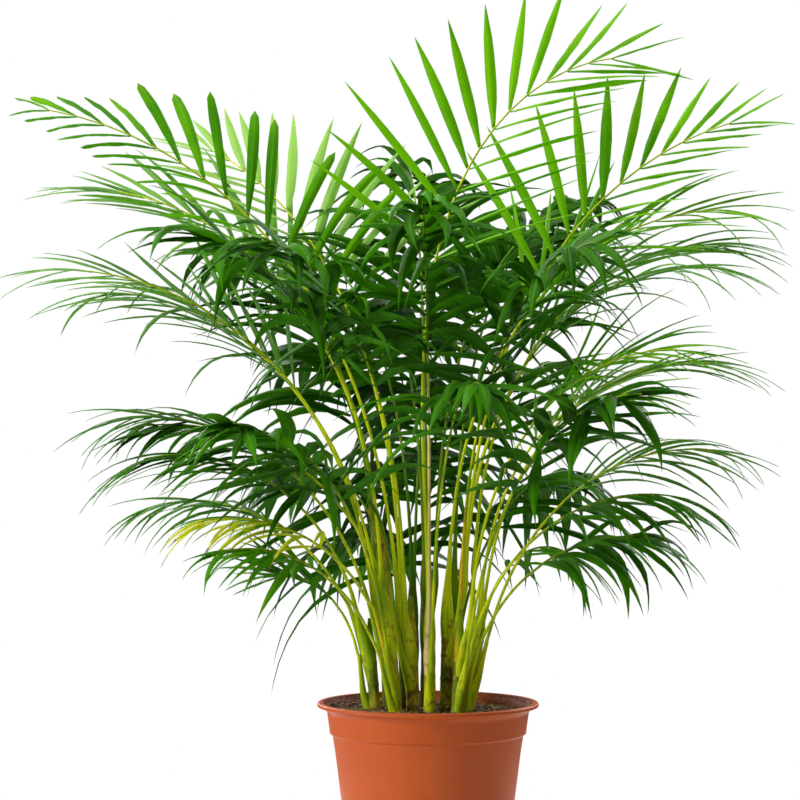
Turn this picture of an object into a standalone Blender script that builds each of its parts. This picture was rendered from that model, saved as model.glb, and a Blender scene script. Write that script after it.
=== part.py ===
"""Potted palm: a clump of young cane palms growing together in one round plastic nursery pot.

The pot stands on z = 0 with its axis on z. Soil fills it to just below the rim. Slim canes rise
from the soil. Each frond leaves a cane as a bare stalk that arches over, and two ranks of pointed
leaflets stand along the outer part of the stalk.
"""

import math
from collections import namedtuple

import bmesh
import bpy
from mathutils import Matrix, Vector
from mathutils.bvhtree import BVHTree

# Driving dimensions, in metres and degrees.
POT_HEIGHT = 0.170
RIM_RADIUS = 0.095
LIP_THICKNESS = 0.0036
LIP_ROUND = 0.0012  # rounding of the lip's outer edge
MOUTH_RADIUS = 0.0895  # the lip's inner edge, wider than the wall below it
COVE_FOOT = 0.159  # height where the wall starts to open out to the lip
COLLAR_TOP_RADIUS = 0.0862
COLLAR_FOOT_RADIUS = 0.0843
COLLAR_FOOT = 0.145  # height where the collar steps in to the body
SHOULDER_RADIUS = 0.0818
BASE_RADIUS = 0.0635
WALL = 0.0020
FLOOR = 0.0030
FOOT_CHAMFER = 0.0015
POT_SEGMENTS = 40
DRAIN_HOLES = 6
DRAIN_RADIUS = 0.0045
DRAIN_CIRCLE = 0.048
DRAIN_SIDES = 8
GAP = 0.0003  # kept between two pieces that touch
STALK_GAP = 0.0009  # from a cane's top to the stalk that stands on it

SOIL_TOP = 0.164
SOIL_CROWN = 0.003  # how much the soil rises from the wall to the clump
CROWN_RADIUS = 0.055  # where that rise ends
CANE_DEPTH = 0.018  # how far a cane goes into the soil
CANE_SIDES = 8
CANE_RINGS = 4
CANE_SWELL = 0.14  # how much wider the cane is at the soil, as a share of its radius
SWELL_HEIGHT = 0.02  # height where that swelling ends
CANE_TAPER = 0.15  # share of its radius that the cane loses from the soil to its top

STALK_ROOT = 0.0027  # half width of a frond's stalk where it leaves the cane
STALK_TIP = 0.0010
STALK_FOOT = 0.0010  # how much more the foot spreads against the cane
FOOT_SHARE = 0.12  # share of the stalk's length where that spread ends
STALK_FULLNESS = 0.8  # exponent of the stalk's taper: below 1 it stays thick for longer
STALK_FLATNESS = 0.6  # height of the stalk's two upper corners, as a share of its half width
ROLL_SHARE = 0.5  # share of the stalk's length over which it takes on its blade's roll
STALK_STEPS = 24  # steps in which the arch of a stalk is added up
PETIOLE_RINGS = 5
LEAFLET_SEAT = 0.0050  # length of stalk that a leaflet grows from
LEAFLET_THICKNESS = 0.0012
WIDEST_AT = 0.42  # share of its length where a leaflet is widest
LEAFLET_OPEN = 60  # angle between stalk and leaflet at the first pair
LEAFLET_CLOSED = 18  # the same angle at the last pair
LEAFLET_LEAST = 8  # the least angle left where a leaflet swings in to clear its neighbours
LEAFLET_CLOSING = 1.1  # exponent of that angle's change along the frond
LEAFLET_LONGEST = 1.24  # first and last leaflet's length, as shares of the frond's leaflet length
LEAFLET_SHORTEST = 0.64
LEAFLET_SHRINKING = 1.3  # exponent of the length's change along the frond
LIFT_LOST = 0.5  # share of its lift above the blade that the last leaflet does without
LEAFLET_SLIMMEST = 0.68  # width of the first and last leaflets beside the middle ones
EARLY_DROOP = 0.35  # share of a leaflet's droop that its inner part has already
SEAT_CLEARANCE = 0.0020  # how far a leaflet's test shell starts outside the stalk

# Each cane: its place at the soil, its height above the soil, where and how far it leans, its radius.
Cane = namedtuple("Cane", "x y height toward lean radius")
CANES = [
    Cane(-0.045, -0.003, 0.078, 175, 4, 0.0046),
    Cane(-0.033, -0.013, 0.108, 190, 3, 0.0040),
    Cane(-0.026, -0.028, 0.113, 200, 4, 0.0038),
    Cane(-0.013, -0.018, 0.098, 180, 1, 0.0052),
    Cane(-0.020, -0.001, 0.083, 180, 2, 0.0042),
    Cane(0.001, -0.026, 0.093, 80, 1, 0.0047),
    Cane(0.015, -0.013, 0.103, 20, 1, 0.0052),
    Cane(0.024, -0.029, 0.078, 320, 3, 0.0040),
    Cane(0.032, -0.007, 0.083, 0, 4, 0.0046),
    Cane(-0.034, 0.013, 0.123, 150, 3, 0.0048),
    Cane(-0.001, 0.005, 0.133, 100, 1, 0.0050),
    Cane(0.018, 0.016, 0.113, 50, 4, 0.0048),
    Cane(-0.012, 0.026, 0.103, 100, 4, 0.0046),
]

# Each frond: cane, height on it, direction, lean at root and tip, how late the lean comes,
# bare length, leafy length, pairs of leaflets, leaflet length and width, roll of the blade,
# how far the leaflets lift above the blade, how far they droop.
Frond = namedtuple(
    "Frond", "cane height toward lean_root lean_tip late bare leafy pairs length width roll lift droop"
)
FRONDS = [
    # tall outer fronds, which make the outline
    Frond(6, 0.093, 8, -3, 84, 2.8, 0.290, 0.250, 13, 0.108, 0.0120, 62, 20, 0.15),
    Frond(7, 0.078, 356, 4, 74, 1.8, 0.300, 0.215, 11, 0.094, 0.0130, 50, 25, 0.15),
    Frond(4, 0.088, 177, 5, 80, 1.45, 0.265, 0.300, 13, 0.092, 0.0120, -42, 28, 0.20),
    Frond(5, 0.083, 144, 2, 66, 1.5, 0.275, 0.210, 11, 0.100, 0.0120, -30, 25, 0.15),
    Frond(10, 0.123, 168, 5, 84, 1.4, 0.225, 0.225, 13, 0.104, 0.0110, -25, 22, 0.35),
    # left side, from the middle down
    Frond(3, 0.088, 184, 8, 88, 1.3, 0.200, 0.225, 13, 0.102, 0.0105, -25, 20, 0.45),
    Frond(2, 0.093, 170, 8, 94, 1.4, 0.205, 0.200, 12, 0.096, 0.0100, -15, 15, 0.60),
    Frond(2, 0.078, 190, 12, 96, 1.3, 0.140, 0.160, 11, 0.098, 0.0100, -20, 12, 0.60),
    Frond(1, 0.073, 206, 14, 102, 1.2, 0.125, 0.145, 10, 0.098, 0.0100, -10, 5, 0.80),
    Frond(1, 0.058, 160, 16, 102, 1.0, 0.105, 0.140, 10, 0.092, 0.0100, 10, 10, 0.70),
    Frond(3, 0.058, 196, 12, 100, 1.0, 0.100, 0.110, 8, 0.075, 0.0090, 0, 5, 0.80),
    Frond(1, 0.013, 178, 2, 96, 1.9, 0.085, 0.055, 6, 0.055, 0.0085, 0, 15, 0.50),
    # right side, from the middle down
    Frond(7, 0.103, 348, 3, 90, 1.6, 0.240, 0.200, 12, 0.104, 0.0110, 25, 22, 0.40),
    Frond(9, 0.083, 354, 2, 94, 1.8, 0.230, 0.195, 12, 0.102, 0.0105, 20, 20, 0.50),
    Frond(12, 0.103, 14, 3, 94, 1.5, 0.205, 0.200, 12, 0.098, 0.0105, 0, 15, 0.60),
    Frond(9, 0.063, 2, 4, 96, 1.5, 0.195, 0.150, 11, 0.095, 0.0100, 10, 10, 0.50),
    Frond(8, 0.073, 330, 5, 92, 1.5, 0.190, 0.145, 10, 0.100, 0.0110, 30, 20, 0.40),
    Frond(12, 0.073, 62, 6, 92, 1.3, 0.165, 0.180, 11, 0.100, 0.0140, 0, 15, 0.60),
    Frond(9, 0.028, 348, 8, 98, 1.5, 0.170, 0.140, 10, 0.092, 0.0110, 20, 15, 0.60),
    Frond(9, 0.073, 340, 6, 92, 1.3, 0.170, 0.120, 9, 0.088, 0.0100, 25, 20, 0.45),
    Frond(8, 0.058, 338, 10, 104, 1.2, 0.135, 0.130, 10, 0.085, 0.0125, 0, 0, 0.90),
    Frond(9, 0.043, 5, 6, 150, 1.9, 0.085, 0.085, 8, 0.070, 0.0110, 0, 0, 0.90),
    # inner fronds, leaning towards the front
    Frond(6, 0.073, 268, 1, 86, 1.6, 0.225, 0.230, 19, 0.100, 0.0135, 0, 20, 0.35),
    Frond(8, 0.073, 296, 3, 88, 1.5, 0.205, 0.220, 18, 0.100, 0.0135, 20, 20, 0.35),
    Frond(4, 0.078, 240, 3, 86, 1.5, 0.205, 0.220, 18, 0.095, 0.0130, -15, 20, 0.35),
    Frond(3, 0.108, 222, 4, 86, 1.5, 0.195, 0.205, 18, 0.095, 0.0130, -20, 20, 0.40),
    Frond(8, 0.038, 318, 6, 90, 1.4, 0.175, 0.190, 17, 0.095, 0.0130, 20, 15, 0.45),
    Frond(3, 0.053, 232, 5, 96, 1.3, 0.155, 0.170, 15, 0.090, 0.0130, 0, 10, 0.60),
    Frond(4, 0.063, 214, 6, 98, 1.2, 0.150, 0.170, 15, 0.090, 0.0120, 0, 10, 0.60),
    Frond(6, 0.050, 278, 3, 96, 1.3, 0.215, 0.165, 15, 0.095, 0.0135, 0, 10, 0.60),
    Frond(3, 0.030, 216, 8, 102, 1.2, 0.120, 0.105, 11, 0.088, 0.0130, -10, 10, 0.80),
    Frond(8, 0.030, 314, 6, 102, 1.2, 0.130, 0.105, 11, 0.088, 0.0130, 10, 10, 0.80),
    # inner fronds, leaning towards the back
    Frond(11, 0.133, 95, 1, 78, 1.8, 0.210, 0.225, 18, 0.100, 0.0130, 0, 20, 0.30),
    Frond(12, 0.113, 62, 3, 82, 1.6, 0.200, 0.210, 17, 0.100, 0.0130, 0, 20, 0.35),
    Frond(13, 0.103, 118, 4, 84, 1.5, 0.200, 0.210, 17, 0.100, 0.0130, 0, 20, 0.35),
    Frond(11, 0.108, 40, 2, 76, 1.9, 0.200, 0.210, 17, 0.100, 0.0130, 20, 25, 0.30),
    Frond(10, 0.123, 136, 3, 86, 1.5, 0.180, 0.205, 17, 0.095, 0.0125, 0, 20, 0.40),
    Frond(13, 0.078, 84, 6, 96, 1.3, 0.150, 0.180, 15, 0.100, 0.0140, 0, 10, 0.90),
    Frond(13, 0.053, 128, 8, 102, 1.1, 0.125, 0.170, 14, 0.098, 0.0140, 0, 5, 1.00),
    Frond(12, 0.043, 55, 8, 102, 1.1, 0.125, 0.170, 14, 0.098, 0.0140, 0, 5, 1.00),
    Frond(11, 0.050, 88, 5, 98, 1.2, 0.130, 0.160, 15, 0.100, 0.0140, 0, 5, 1.10),
    Frond(13, 0.030, 105, 8, 102, 1.0, 0.090, 0.140, 13, 0.095, 0.0140, 0, 5, 1.10),
    Frond(10, 0.083, 112, 5, 92, 1.3, 0.170, 0.180, 15, 0.100, 0.0140, 0, 10, 0.80),
    Frond(11, 0.083, 100, 3, 88, 1.4, 0.185, 0.190, 17, 0.100, 0.0140, 0, 10, 0.70),
]

# The dead sheath: the dry leaf base still standing on one cane, a flat blade rolled to a point.
SHEATH_CANE = 3
SHEATH_LENGTH = 0.072
SHEATH_HALF_WIDTH = 0.0052
SHEATH_HALF_THICKNESS = 0.0014
SHEATH_LEAN = 7
SHEATH_TOWARD = 205
SHEATH_SIDES = 6
# Its height and width along its length, as shares of the full ones.
SHEATH_STATIONS = [(0.0, 0.30), (0.25, 0.62), (0.55, 0.95), (0.80, 1.0), (1.0, 0.30)]

COLOURS = {
    "pot": (0.50, 0.13, 0.045, 0.45, 0.0),
    "soil": (0.045, 0.028, 0.018, 0.95, 0.0),
    "cane": (0.36, 0.42, 0.08, 0.50, 0.0),
    "frond": (0.07, 0.22, 0.03, 0.45, 0.0),
    "sheath": (0.42, 0.26, 0.07, 0.80, 0.0),
}


def material(name, colour):
    """A Principled material with this base colour, roughness and metallic value."""
    made = bpy.data.materials.new(name)
    made.use_nodes = True
    shader = made.node_tree.nodes["Principled BSDF"]
    red, green, blue, rough, metal = colour
    shader.inputs["Base Color"].default_value = (red, green, blue, 1.0)
    shader.inputs["Roughness"].default_value = rough
    shader.inputs["Metallic"].default_value = metal
    return made


def add_object(name, points, faces, colour):
    """One object from points and faces, with its faces turned outwards."""
    mesh = bpy.data.meshes.new(name)
    mesh.from_pydata([tuple(p) for p in points], [], faces)
    shape = bmesh.new()
    shape.from_mesh(mesh)
    bmesh.ops.recalc_face_normals(shape, faces=shape.faces)
    if shape.calc_volume(signed=True) < 0:
        bmesh.ops.reverse_faces(shape, faces=shape.faces)
    shape.to_mesh(mesh)
    shape.free()
    mesh.materials.append(material(name + "_material", COLOURS[colour]))
    made = bpy.data.objects.new(name, mesh)
    bpy.context.collection.objects.link(made)
    return made


def round_shading(made, angle=35):
    """Smooth shading, with edges kept where faces meet at more than this angle."""
    made.data.shade_smooth()
    made.data.set_sharp_from_angle(angle=math.radians(angle))


def turned(name, outline, segments, colour):
    """A solid turned about z from a closed outline of (radius, height); radius 0 is a pole."""
    points, rings = [], []
    for radius, height in outline:
        count = 1 if radius == 0 else segments
        rings.append(range(len(points), len(points) + count))
        for i in range(count):
            turn = 2 * math.pi * i / segments
            points.append((radius * math.cos(turn), radius * math.sin(turn), height))
    faces = []
    pairs = list(zip(rings, rings[1:] + rings[:1]))
    for below, above in pairs:
        if len(below) == 1 and len(above) == 1:
            continue
        for i in range(segments):
            j = (i + 1) % segments
            if len(below) == 1:
                faces.append((below[0], above[j], above[i]))
            elif len(above) == 1:
                faces.append((below[i], below[j], above[0]))
            else:
                faces.append((below[i], below[j], above[j], above[i]))
    made = add_object(name, points, faces, colour)
    round_shading(made)
    return made


def cutter(name, points, faces):
    """A hidden guide that a Boolean cuts with."""
    made = add_object(name, points, faces, "pot")
    made.hide_render = True
    made.display_type = "WIRE"
    return made


def cut(target, tool):
    """Cuts the tool's shape out of the target."""
    boolean = target.modifiers.new("cut", "BOOLEAN")
    boolean.operation = "DIFFERENCE"
    boolean.solver = "EXACT"
    boolean.object = tool


def tube_faces(rings, sides):
    """Faces of a closed tube whose points are these rings, one after the other."""
    faces = []
    for ring in range(rings - 1):
        for i in range(sides):
            j = (i + 1) % sides
            low, high = ring * sides, (ring + 1) * sides
            faces.append((low + i, low + j, high + j, high + i))
    faces.append(tuple(range(sides - 1, -1, -1)))
    faces.append(tuple(range((rings - 1) * sides, rings * sides)))
    return faces


def prism(centres, radii, sides):
    """Points and faces of a closed tube with level rings round these centres."""
    points = []
    for centre, radius in zip(centres, radii):
        for i in range(sides):
            turn = 2 * math.pi * (i + 0.5) / sides
            points.append(Vector(centre) + Vector((math.cos(turn), math.sin(turn), 0)) * radius)
    return points, tube_faces(len(centres), sides)


def joined(solids):
    """Several (points, faces) solids as one list of points and one of faces."""
    points, faces = [], []
    for some_points, some_faces in solids:
        start = len(points)
        points += some_points
        faces += [tuple(start + i for i in face) for face in some_faces]
    return points, faces


def inner_radius(height):
    """Radius of the pot's inner wall, by straight runs between the heights where it changes."""
    step = COLLAR_FOOT_RADIUS - SHOULDER_RADIUS
    runs = [
        (0.0, BASE_RADIUS),
        (COLLAR_FOOT + WALL - step, SHOULDER_RADIUS),
        (COLLAR_FOOT + WALL, COLLAR_FOOT_RADIUS),
        (COVE_FOOT, COLLAR_TOP_RADIUS),
        (POT_HEIGHT - LIP_THICKNESS, MOUTH_RADIUS + WALL / 2),
        (POT_HEIGHT, MOUTH_RADIUS + WALL),
    ]
    for (low, below), (high, above) in zip(runs, runs[1:]):
        if height <= high:
            return below + (above - below) * (height - low) / (high - low) - WALL
    return MOUTH_RADIUS


def make_pot():
    """The pot: tapered body, stepped collar, wide rolled lip, and drain holes in the floor."""
    step = COLLAR_FOOT_RADIUS - SHOULDER_RADIUS
    lip_under = POT_HEIGHT - LIP_THICKNESS
    outline = [
        (0, 0),
        (BASE_RADIUS - FOOT_CHAMFER, 0),
        (BASE_RADIUS, FOOT_CHAMFER),
        (SHOULDER_RADIUS, COLLAR_FOOT - step),
        (COLLAR_FOOT_RADIUS, COLLAR_FOOT),
        (COLLAR_TOP_RADIUS, COVE_FOOT),
        (MOUTH_RADIUS + WALL / 2, lip_under),
        (RIM_RADIUS - LIP_ROUND, lip_under),
        (RIM_RADIUS, lip_under + LIP_ROUND),
        (RIM_RADIUS, POT_HEIGHT - LIP_ROUND),
        (RIM_RADIUS - LIP_ROUND, POT_HEIGHT),
        (MOUTH_RADIUS, POT_HEIGHT),
        (inner_radius(lip_under), lip_under),
        (inner_radius(COVE_FOOT), COVE_FOOT),
        (inner_radius(COLLAR_FOOT + WALL), COLLAR_FOOT + WALL),
        (inner_radius(COLLAR_FOOT + WALL - step), COLLAR_FOOT + WALL - step),
        (inner_radius(FLOOR), FLOOR),
        (0, FLOOR),
    ]
    pot = turned("pot", outline, POT_SEGMENTS, "pot")
    holes = []
    for i in range(DRAIN_HOLES):
        turn = 2 * math.pi * (i + 0.5) / DRAIN_HOLES
        centre = Vector((DRAIN_CIRCLE * math.cos(turn), DRAIN_CIRCLE * math.sin(turn), 0))
        ends = [centre + Vector((0, 0, -FLOOR)), centre + Vector((0, 0, 2 * FLOOR))]
        holes.append(prism(ends, [DRAIN_RADIUS] * 2, DRAIN_SIDES))
    cut(pot, cutter("drain_holes", *joined(holes)))


def cane_axis(cane, height):
    """A point on the cane's axis, this far above the soil."""
    out = math.radians(cane.toward)
    shift = height * math.tan(math.radians(cane.lean))
    return Vector(
        (cane.x + shift * math.cos(out), cane.y + shift * math.sin(out), SOIL_TOP + height)
    )


def cane_radius(cane, height):
    """The cane's radius at this height: a little swollen at the soil, slimmer at the top."""
    swell = CANE_SWELL * max(0.0, 1 - height / SWELL_HEIGHT)
    return cane.radius * (1 + swell - CANE_TAPER * height / cane.height)


def make_cane(name, cane):
    """One cane, closed at both ends, with its foot in the soil."""
    rest = cane.height - SWELL_HEIGHT
    levels = [-CANE_DEPTH, 0.0, SWELL_HEIGHT]
    levels += [SWELL_HEIGHT + rest * (i + 1) / CANE_RINGS for i in range(CANE_RINGS)]
    centres = [cane_axis(cane, level) for level in levels]
    radii = [cane_radius(cane, max(level, 0.0)) for level in levels]
    solid = prism(centres, radii, CANE_SIDES)
    made = add_object(name, *solid, "cane")
    round_shading(made, 60)
    return solid


def make_soil():
    """The soil: fills the pot, rises a little towards the clump, and has a socket for each cane."""
    step = COLLAR_FOOT_RADIUS - SHOULDER_RADIUS
    edge = SOIL_TOP - SOIL_CROWN
    outline = [
        (0, FLOOR + GAP),
        (inner_radius(FLOOR) - GAP, FLOOR + GAP),
        (inner_radius(COLLAR_FOOT + WALL - step) - GAP, COLLAR_FOOT + WALL - step),
        (inner_radius(COLLAR_FOOT + WALL) - GAP, COLLAR_FOOT + WALL + GAP),
        (inner_radius(COVE_FOOT) - GAP, COVE_FOOT + GAP),
        (inner_radius(edge) - GAP, edge),
        (CROWN_RADIUS, SOIL_TOP),
        (0, SOIL_TOP),
    ]
    soil = turned("soil", outline, POT_SEGMENTS, "soil")
    sockets = []
    for cane in CANES:
        radius = cane_radius(cane, 0.0) + GAP / math.cos(math.pi / CANE_SIDES)
        deep = cane_axis(cane, -CANE_DEPTH - GAP)
        above = cane_axis(cane, SWELL_HEIGHT)
        sockets.append(prism([deep, above], [radius] * 2, CANE_SIDES))
    cut(soil, cutter("cane_sockets", *joined(sockets)))


def make_sheath(name):
    """The dead sheath: a flat tapering blade standing just above its cane's top."""
    cane = CANES[SHEATH_CANE - 1]
    foot = cane_axis(cane, cane.height) + Vector((0, 0, STALK_GAP))
    out = math.radians(SHEATH_TOWARD)
    ahead = Vector((math.cos(out), math.sin(out), 0))
    points = []
    for share, fullness in SHEATH_STATIONS:
        lean = math.radians(SHEATH_LEAN * (1 + share))
        height = SHEATH_LENGTH * share
        centre = foot + Vector((0, 0, height)) + ahead * (height * math.tan(lean))
        for i in range(SHEATH_SIDES):
            turn = 2 * math.pi * i / SHEATH_SIDES
            wide = SHEATH_HALF_WIDTH * fullness * math.cos(turn)
            thick = SHEATH_HALF_THICKNESS * (1 + fullness) / 2 * math.sin(turn)
            points.append(centre + Vector((wide, thick, 0)))
    faces = tube_faces(len(SHEATH_STATIONS), SHEATH_SIDES)
    round_shading(add_object(name, points, faces, "sheath"), 60)
    return points, faces


class Space:
    """What has been placed so far, to keep every new stalk and leaflet clear of it."""

    def __init__(self):
        self.items = []

    def add(self, owner, points, faces):
        low = Vector(map(min, zip(*points)))
        high = Vector(map(max, zip(*points)))
        self.items.append((owner, low, high, BVHTree.FromPolygons(points, faces)))

    def hit(self, owner, points, faces):
        """True where the new shape meets one of another owner."""
        low = Vector(map(min, zip(*points)))
        high = Vector(map(max, zip(*points)))
        tree = None
        for other, floor, roof, placed in self.items:
            if other == owner or any(high[i] < floor[i] or low[i] > roof[i] for i in range(3)):
                continue
            tree = tree or BVHTree.FromPolygons(points, faces)
            if tree.overlap(placed):
                return True
        return False


def stalk_direction(frond, ahead, share):
    """Which way the stalk points at this share of its length, on its way from upright to ahead."""
    lean = frond.lean_root + (frond.lean_tip - frond.lean_root) * share**frond.late
    lean = math.radians(lean)
    return ahead * math.sin(lean) + Vector((0, 0, math.cos(lean)))


def frame_on(frond, root, share):
    """Place, direction, side and upper side of the stalk at this share of its length."""
    out = math.radians(frond.toward)
    ahead = Vector((math.cos(out), math.sin(out), 0))
    step = (frond.bare + frond.leafy) * share / STALK_STEPS
    place = Vector(root)
    for i in range(STALK_STEPS):
        place += stalk_direction(frond, ahead, share * (i + 0.5) / STALK_STEPS) * step
    along = stalk_direction(frond, ahead, share)
    side = Vector((0, 0, 1)).cross(ahead)
    turn = Matrix.Rotation(math.radians(frond.roll) * min(1.0, share / ROLL_SHARE), 3, along)
    side = turn @ side
    return place, along, side, along.cross(side)


def stalk_half_width(share):
    """Half width of the stalk: widest at its foot, slender at its tip."""
    foot = STALK_FOOT * max(0.0, 1 - share / FOOT_SHARE)
    taper = max(0.0, 1 - share) ** STALK_FULLNESS
    return STALK_TIP + (STALK_ROOT - STALK_TIP) * taper + foot


def stalk_ring(frond, root, share, more=0.0):
    """The stalk's three corners at this share of its length: two above, one below."""
    place, along, side, upper = frame_on(frond, root, share)
    half = stalk_half_width(share) + more
    return [
        place + side * half + upper * half * STALK_FLATNESS,
        place - side * half + upper * half * STALK_FLATNESS,
        place - upper * half,
    ]


def stalk_shares(frond):
    """Shares of the stalk's length where its rings are: the bare part, then two for each pair."""
    total = frond.bare + frond.leafy
    start = frond.bare / total
    shares = [start * i / PETIOLE_RINGS for i in range(PETIOLE_RINGS)]
    seat = LEAFLET_SEAT / total
    pitch = (1 - start - seat) / (frond.pairs - 1)
    for i in range(frond.pairs):
        shares += [start + i * pitch, start + i * pitch + seat]
    return shares


def stalk_solid(frond, root, more=0.0):
    """The closed stalk without leaflets, for the clearance test."""
    shares = stalk_shares(frond)
    points = [p for share in shares for p in stalk_ring(frond, root, share, more)]
    return points, tube_faces(len(shares), 3)


def frond_root(frond):
    """Where the stalk starts: beside its cane, or just above the cane's cut top."""
    cane = CANES[frond.cane - 1]
    out = math.radians(frond.toward)
    axis = cane_axis(cane, frond.height)
    if frond.height >= cane.height - STALK_GAP:
        return cane_axis(cane, cane.height) + Vector((0, 0, STALK_GAP))
    clear = cane_radius(cane, 0.0) + stalk_half_width(0.0) + 2 * GAP
    return axis + Vector((math.cos(out), math.sin(out), 0)) * clear


def settle_stalk(frond, space, owner):
    """The frond turned a little, where it must be, so that its stalk clears what stands there."""
    for turn in (0, 3, -3, 6, -6, 9, -9, 12, -12, 16, -16, 20, -20, 25, -25, 30, -30, 36, -36):
        for rise in (0.0, 0.006, -0.006, 0.012, -0.012):
            for lean in (0, 2, 4):
                moved = frond._replace(
                    toward=frond.toward + turn,
                    height=frond.height + rise,
                    lean_root=frond.lean_root + lean,
                )
                solid = stalk_solid(moved, frond_root(moved), more=GAP)
                if not space.hit(owner, *solid):
                    return moved
    raise ValueError(f"no clear place for {owner}")


def leaflet_shape(frond, root, pair, hand, trial, scale, more=0.0):
    """A leaflet's widest ring (lower edge, upper edge, ridge) and its tip.

    hand is 1 on the side the stalk's side vector points to, and -1 on the other. trial is
    (swing, lift) in degrees, added to the leaflet's own angles.
    """
    swing, raised = trial
    shares = stalk_shares(frond)
    first = PETIOLE_RINGS + 2 * pair
    share = 0.5 * (shares[first] + shares[first + 1])
    place, along, side, upper = frame_on(frond, root, share)
    order = pair / (frond.pairs - 1)
    closing = (LEAFLET_CLOSED - LEAFLET_OPEN) * order**LEAFLET_CLOSING
    angle = math.radians(max(LEAFLET_LEAST, LEAFLET_OPEN + closing + swing))
    lift = math.radians(frond.lift * (1 - LIFT_LOST * order) + raised)
    across = side * hand * math.cos(lift) + upper * math.sin(lift)
    ahead = along * math.cos(angle) + across * math.sin(angle)
    shrink = (LEAFLET_LONGEST - LEAFLET_SHORTEST) * order**LEAFLET_SHRINKING
    size = frond.length * scale * (LEAFLET_LONGEST - shrink)
    wide = (along - ahead * along.dot(ahead)).normalized()
    face = wide.cross(ahead) * hand
    fullness = LEAFLET_SLIMMEST + (1 - LEAFLET_SLIMMEST) * math.sin(math.pi * order)
    half = 0.5 * frond.width * fullness + more
    down = Vector((0, 0, -1))
    bend = (ahead + down * frond.droop * EARLY_DROOP).normalized()
    middle = place + (ahead * 0.5 + bend * 0.5) * size * WIDEST_AT
    fall = (ahead + down * frond.droop).normalized()
    tip = middle + fall * size * (1 - WIDEST_AT)
    thick = LEAFLET_THICKNESS + more
    ring = [
        middle - wide * half - face * more,
        middle + wide * half - face * more,
        middle + face * thick,
    ]
    return ring, tip + fall * more * 3


TRIALS = [(0, 0)] + [
    (swing, raised)
    for reach in (6, 12, 18, 24)
    for swing, raised in (
        (0, reach),
        (0, -reach),
        (-reach, 0),
        (reach * 0.6, reach * 0.6),
        (-reach * 0.6, -reach * 0.6),
        (reach * 0.6, -reach * 0.6),
    )
]
SHORTER = (1.0, 0.82, 0.64)


# Corners of a leaflet: 0 and 3 are the seat's lower end, 1 and 2 its upper end, 4 and 5 the two
# edges where it is widest, 6 the ridge there and 7 the tip.
LEAFLET_FACES = [
    (0, 1, 6),
    (0, 6, 4),
    (3, 0, 4),
    (1, 5, 6),
    (1, 2, 5),
    (2, 3, 5),
    (3, 4, 5),
    (4, 6, 7),
    (6, 5, 7),
    (5, 4, 7),
]


def seat_corners(ring, hand):
    """Indices of the stalk's corners that a leaflet stands on."""
    top = 0 if hand == 1 else 1
    low, high = ring * 3, ring * 3 + 3
    return [low + top, high + top, high + 2, low + 2]


def settle_leaflet(frond, root, pair, hand, seat, space, owner):
    """A leaflet's ring and tip where its test shell is clear, or None; the shell is kept in space."""
    centre = sum(seat, Vector()) / 4
    for scale in SHORTER:
        for trial in TRIALS:
            ring, tip = leaflet_shape(frond, root, pair, hand, trial, scale, more=GAP)
            away = (sum(ring, Vector()) / 3 - centre).normalized() * SEAT_CLEARANCE
            points = [p + away for p in seat] + ring + [tip]
            faces = LEAFLET_FACES + [(0, 3, 2, 1)]
            if not space.hit(owner + "_stalk", points, faces):
                space.add(owner + "_leaflet", points, faces)
                return leaflet_shape(frond, root, pair, hand, trial, scale)
    return None


def make_frond(name, frond, space):
    """One frond: its stalk with the leaflets grown out of its two lower sides, one closed body."""
    root = frond_root(frond)
    points, tube = stalk_solid(frond, root)
    faces = tube[-2:]
    seats = set()
    for pair in range(frond.pairs):
        ring_number = PETIOLE_RINGS + 2 * pair
        for hand in (1, -1):
            corners = seat_corners(ring_number, hand)
            seat = [points[i] for i in corners]
            leaflet = settle_leaflet(frond, root, pair, hand, seat, space, name)
            if leaflet:
                ring, tip = leaflet
                numbers = corners + list(range(len(points), len(points) + 4))
                points += ring + [tip]
                faces += [tuple(numbers[i] for i in face) for face in LEAFLET_FACES]
                seats.add(tuple(sorted(corners)))
    faces += [face for face in tube[:-2] if tuple(sorted(face)) not in seats]
    made = add_object(name, points, faces, "frond")
    made.data.shade_flat()


def main():
    for old in list(bpy.data.objects):
        bpy.data.objects.remove(old)
    make_pot()
    make_soil()
    space = Space()
    for number, cane in enumerate(CANES, 1):
        space.add(f"cane_{number:02d}", *make_cane(f"cane_{number:02d}", cane))
    space.add("dry_sheath", *make_sheath("dry_sheath"))
    settled = []
    for number, frond in enumerate(FRONDS, 1):
        name = f"frond_{number:02d}"
        frond = settle_stalk(frond, space, name)
        space.add(name + "_stalk", *stalk_solid(frond, frond_root(frond), more=GAP))
        settled.append((name, frond))
    for name, frond in settled:
        make_frond(name, frond, space)


main()
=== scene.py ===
import math

import bmesh
import bpy
import numpy as np
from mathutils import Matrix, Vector, noise


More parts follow.
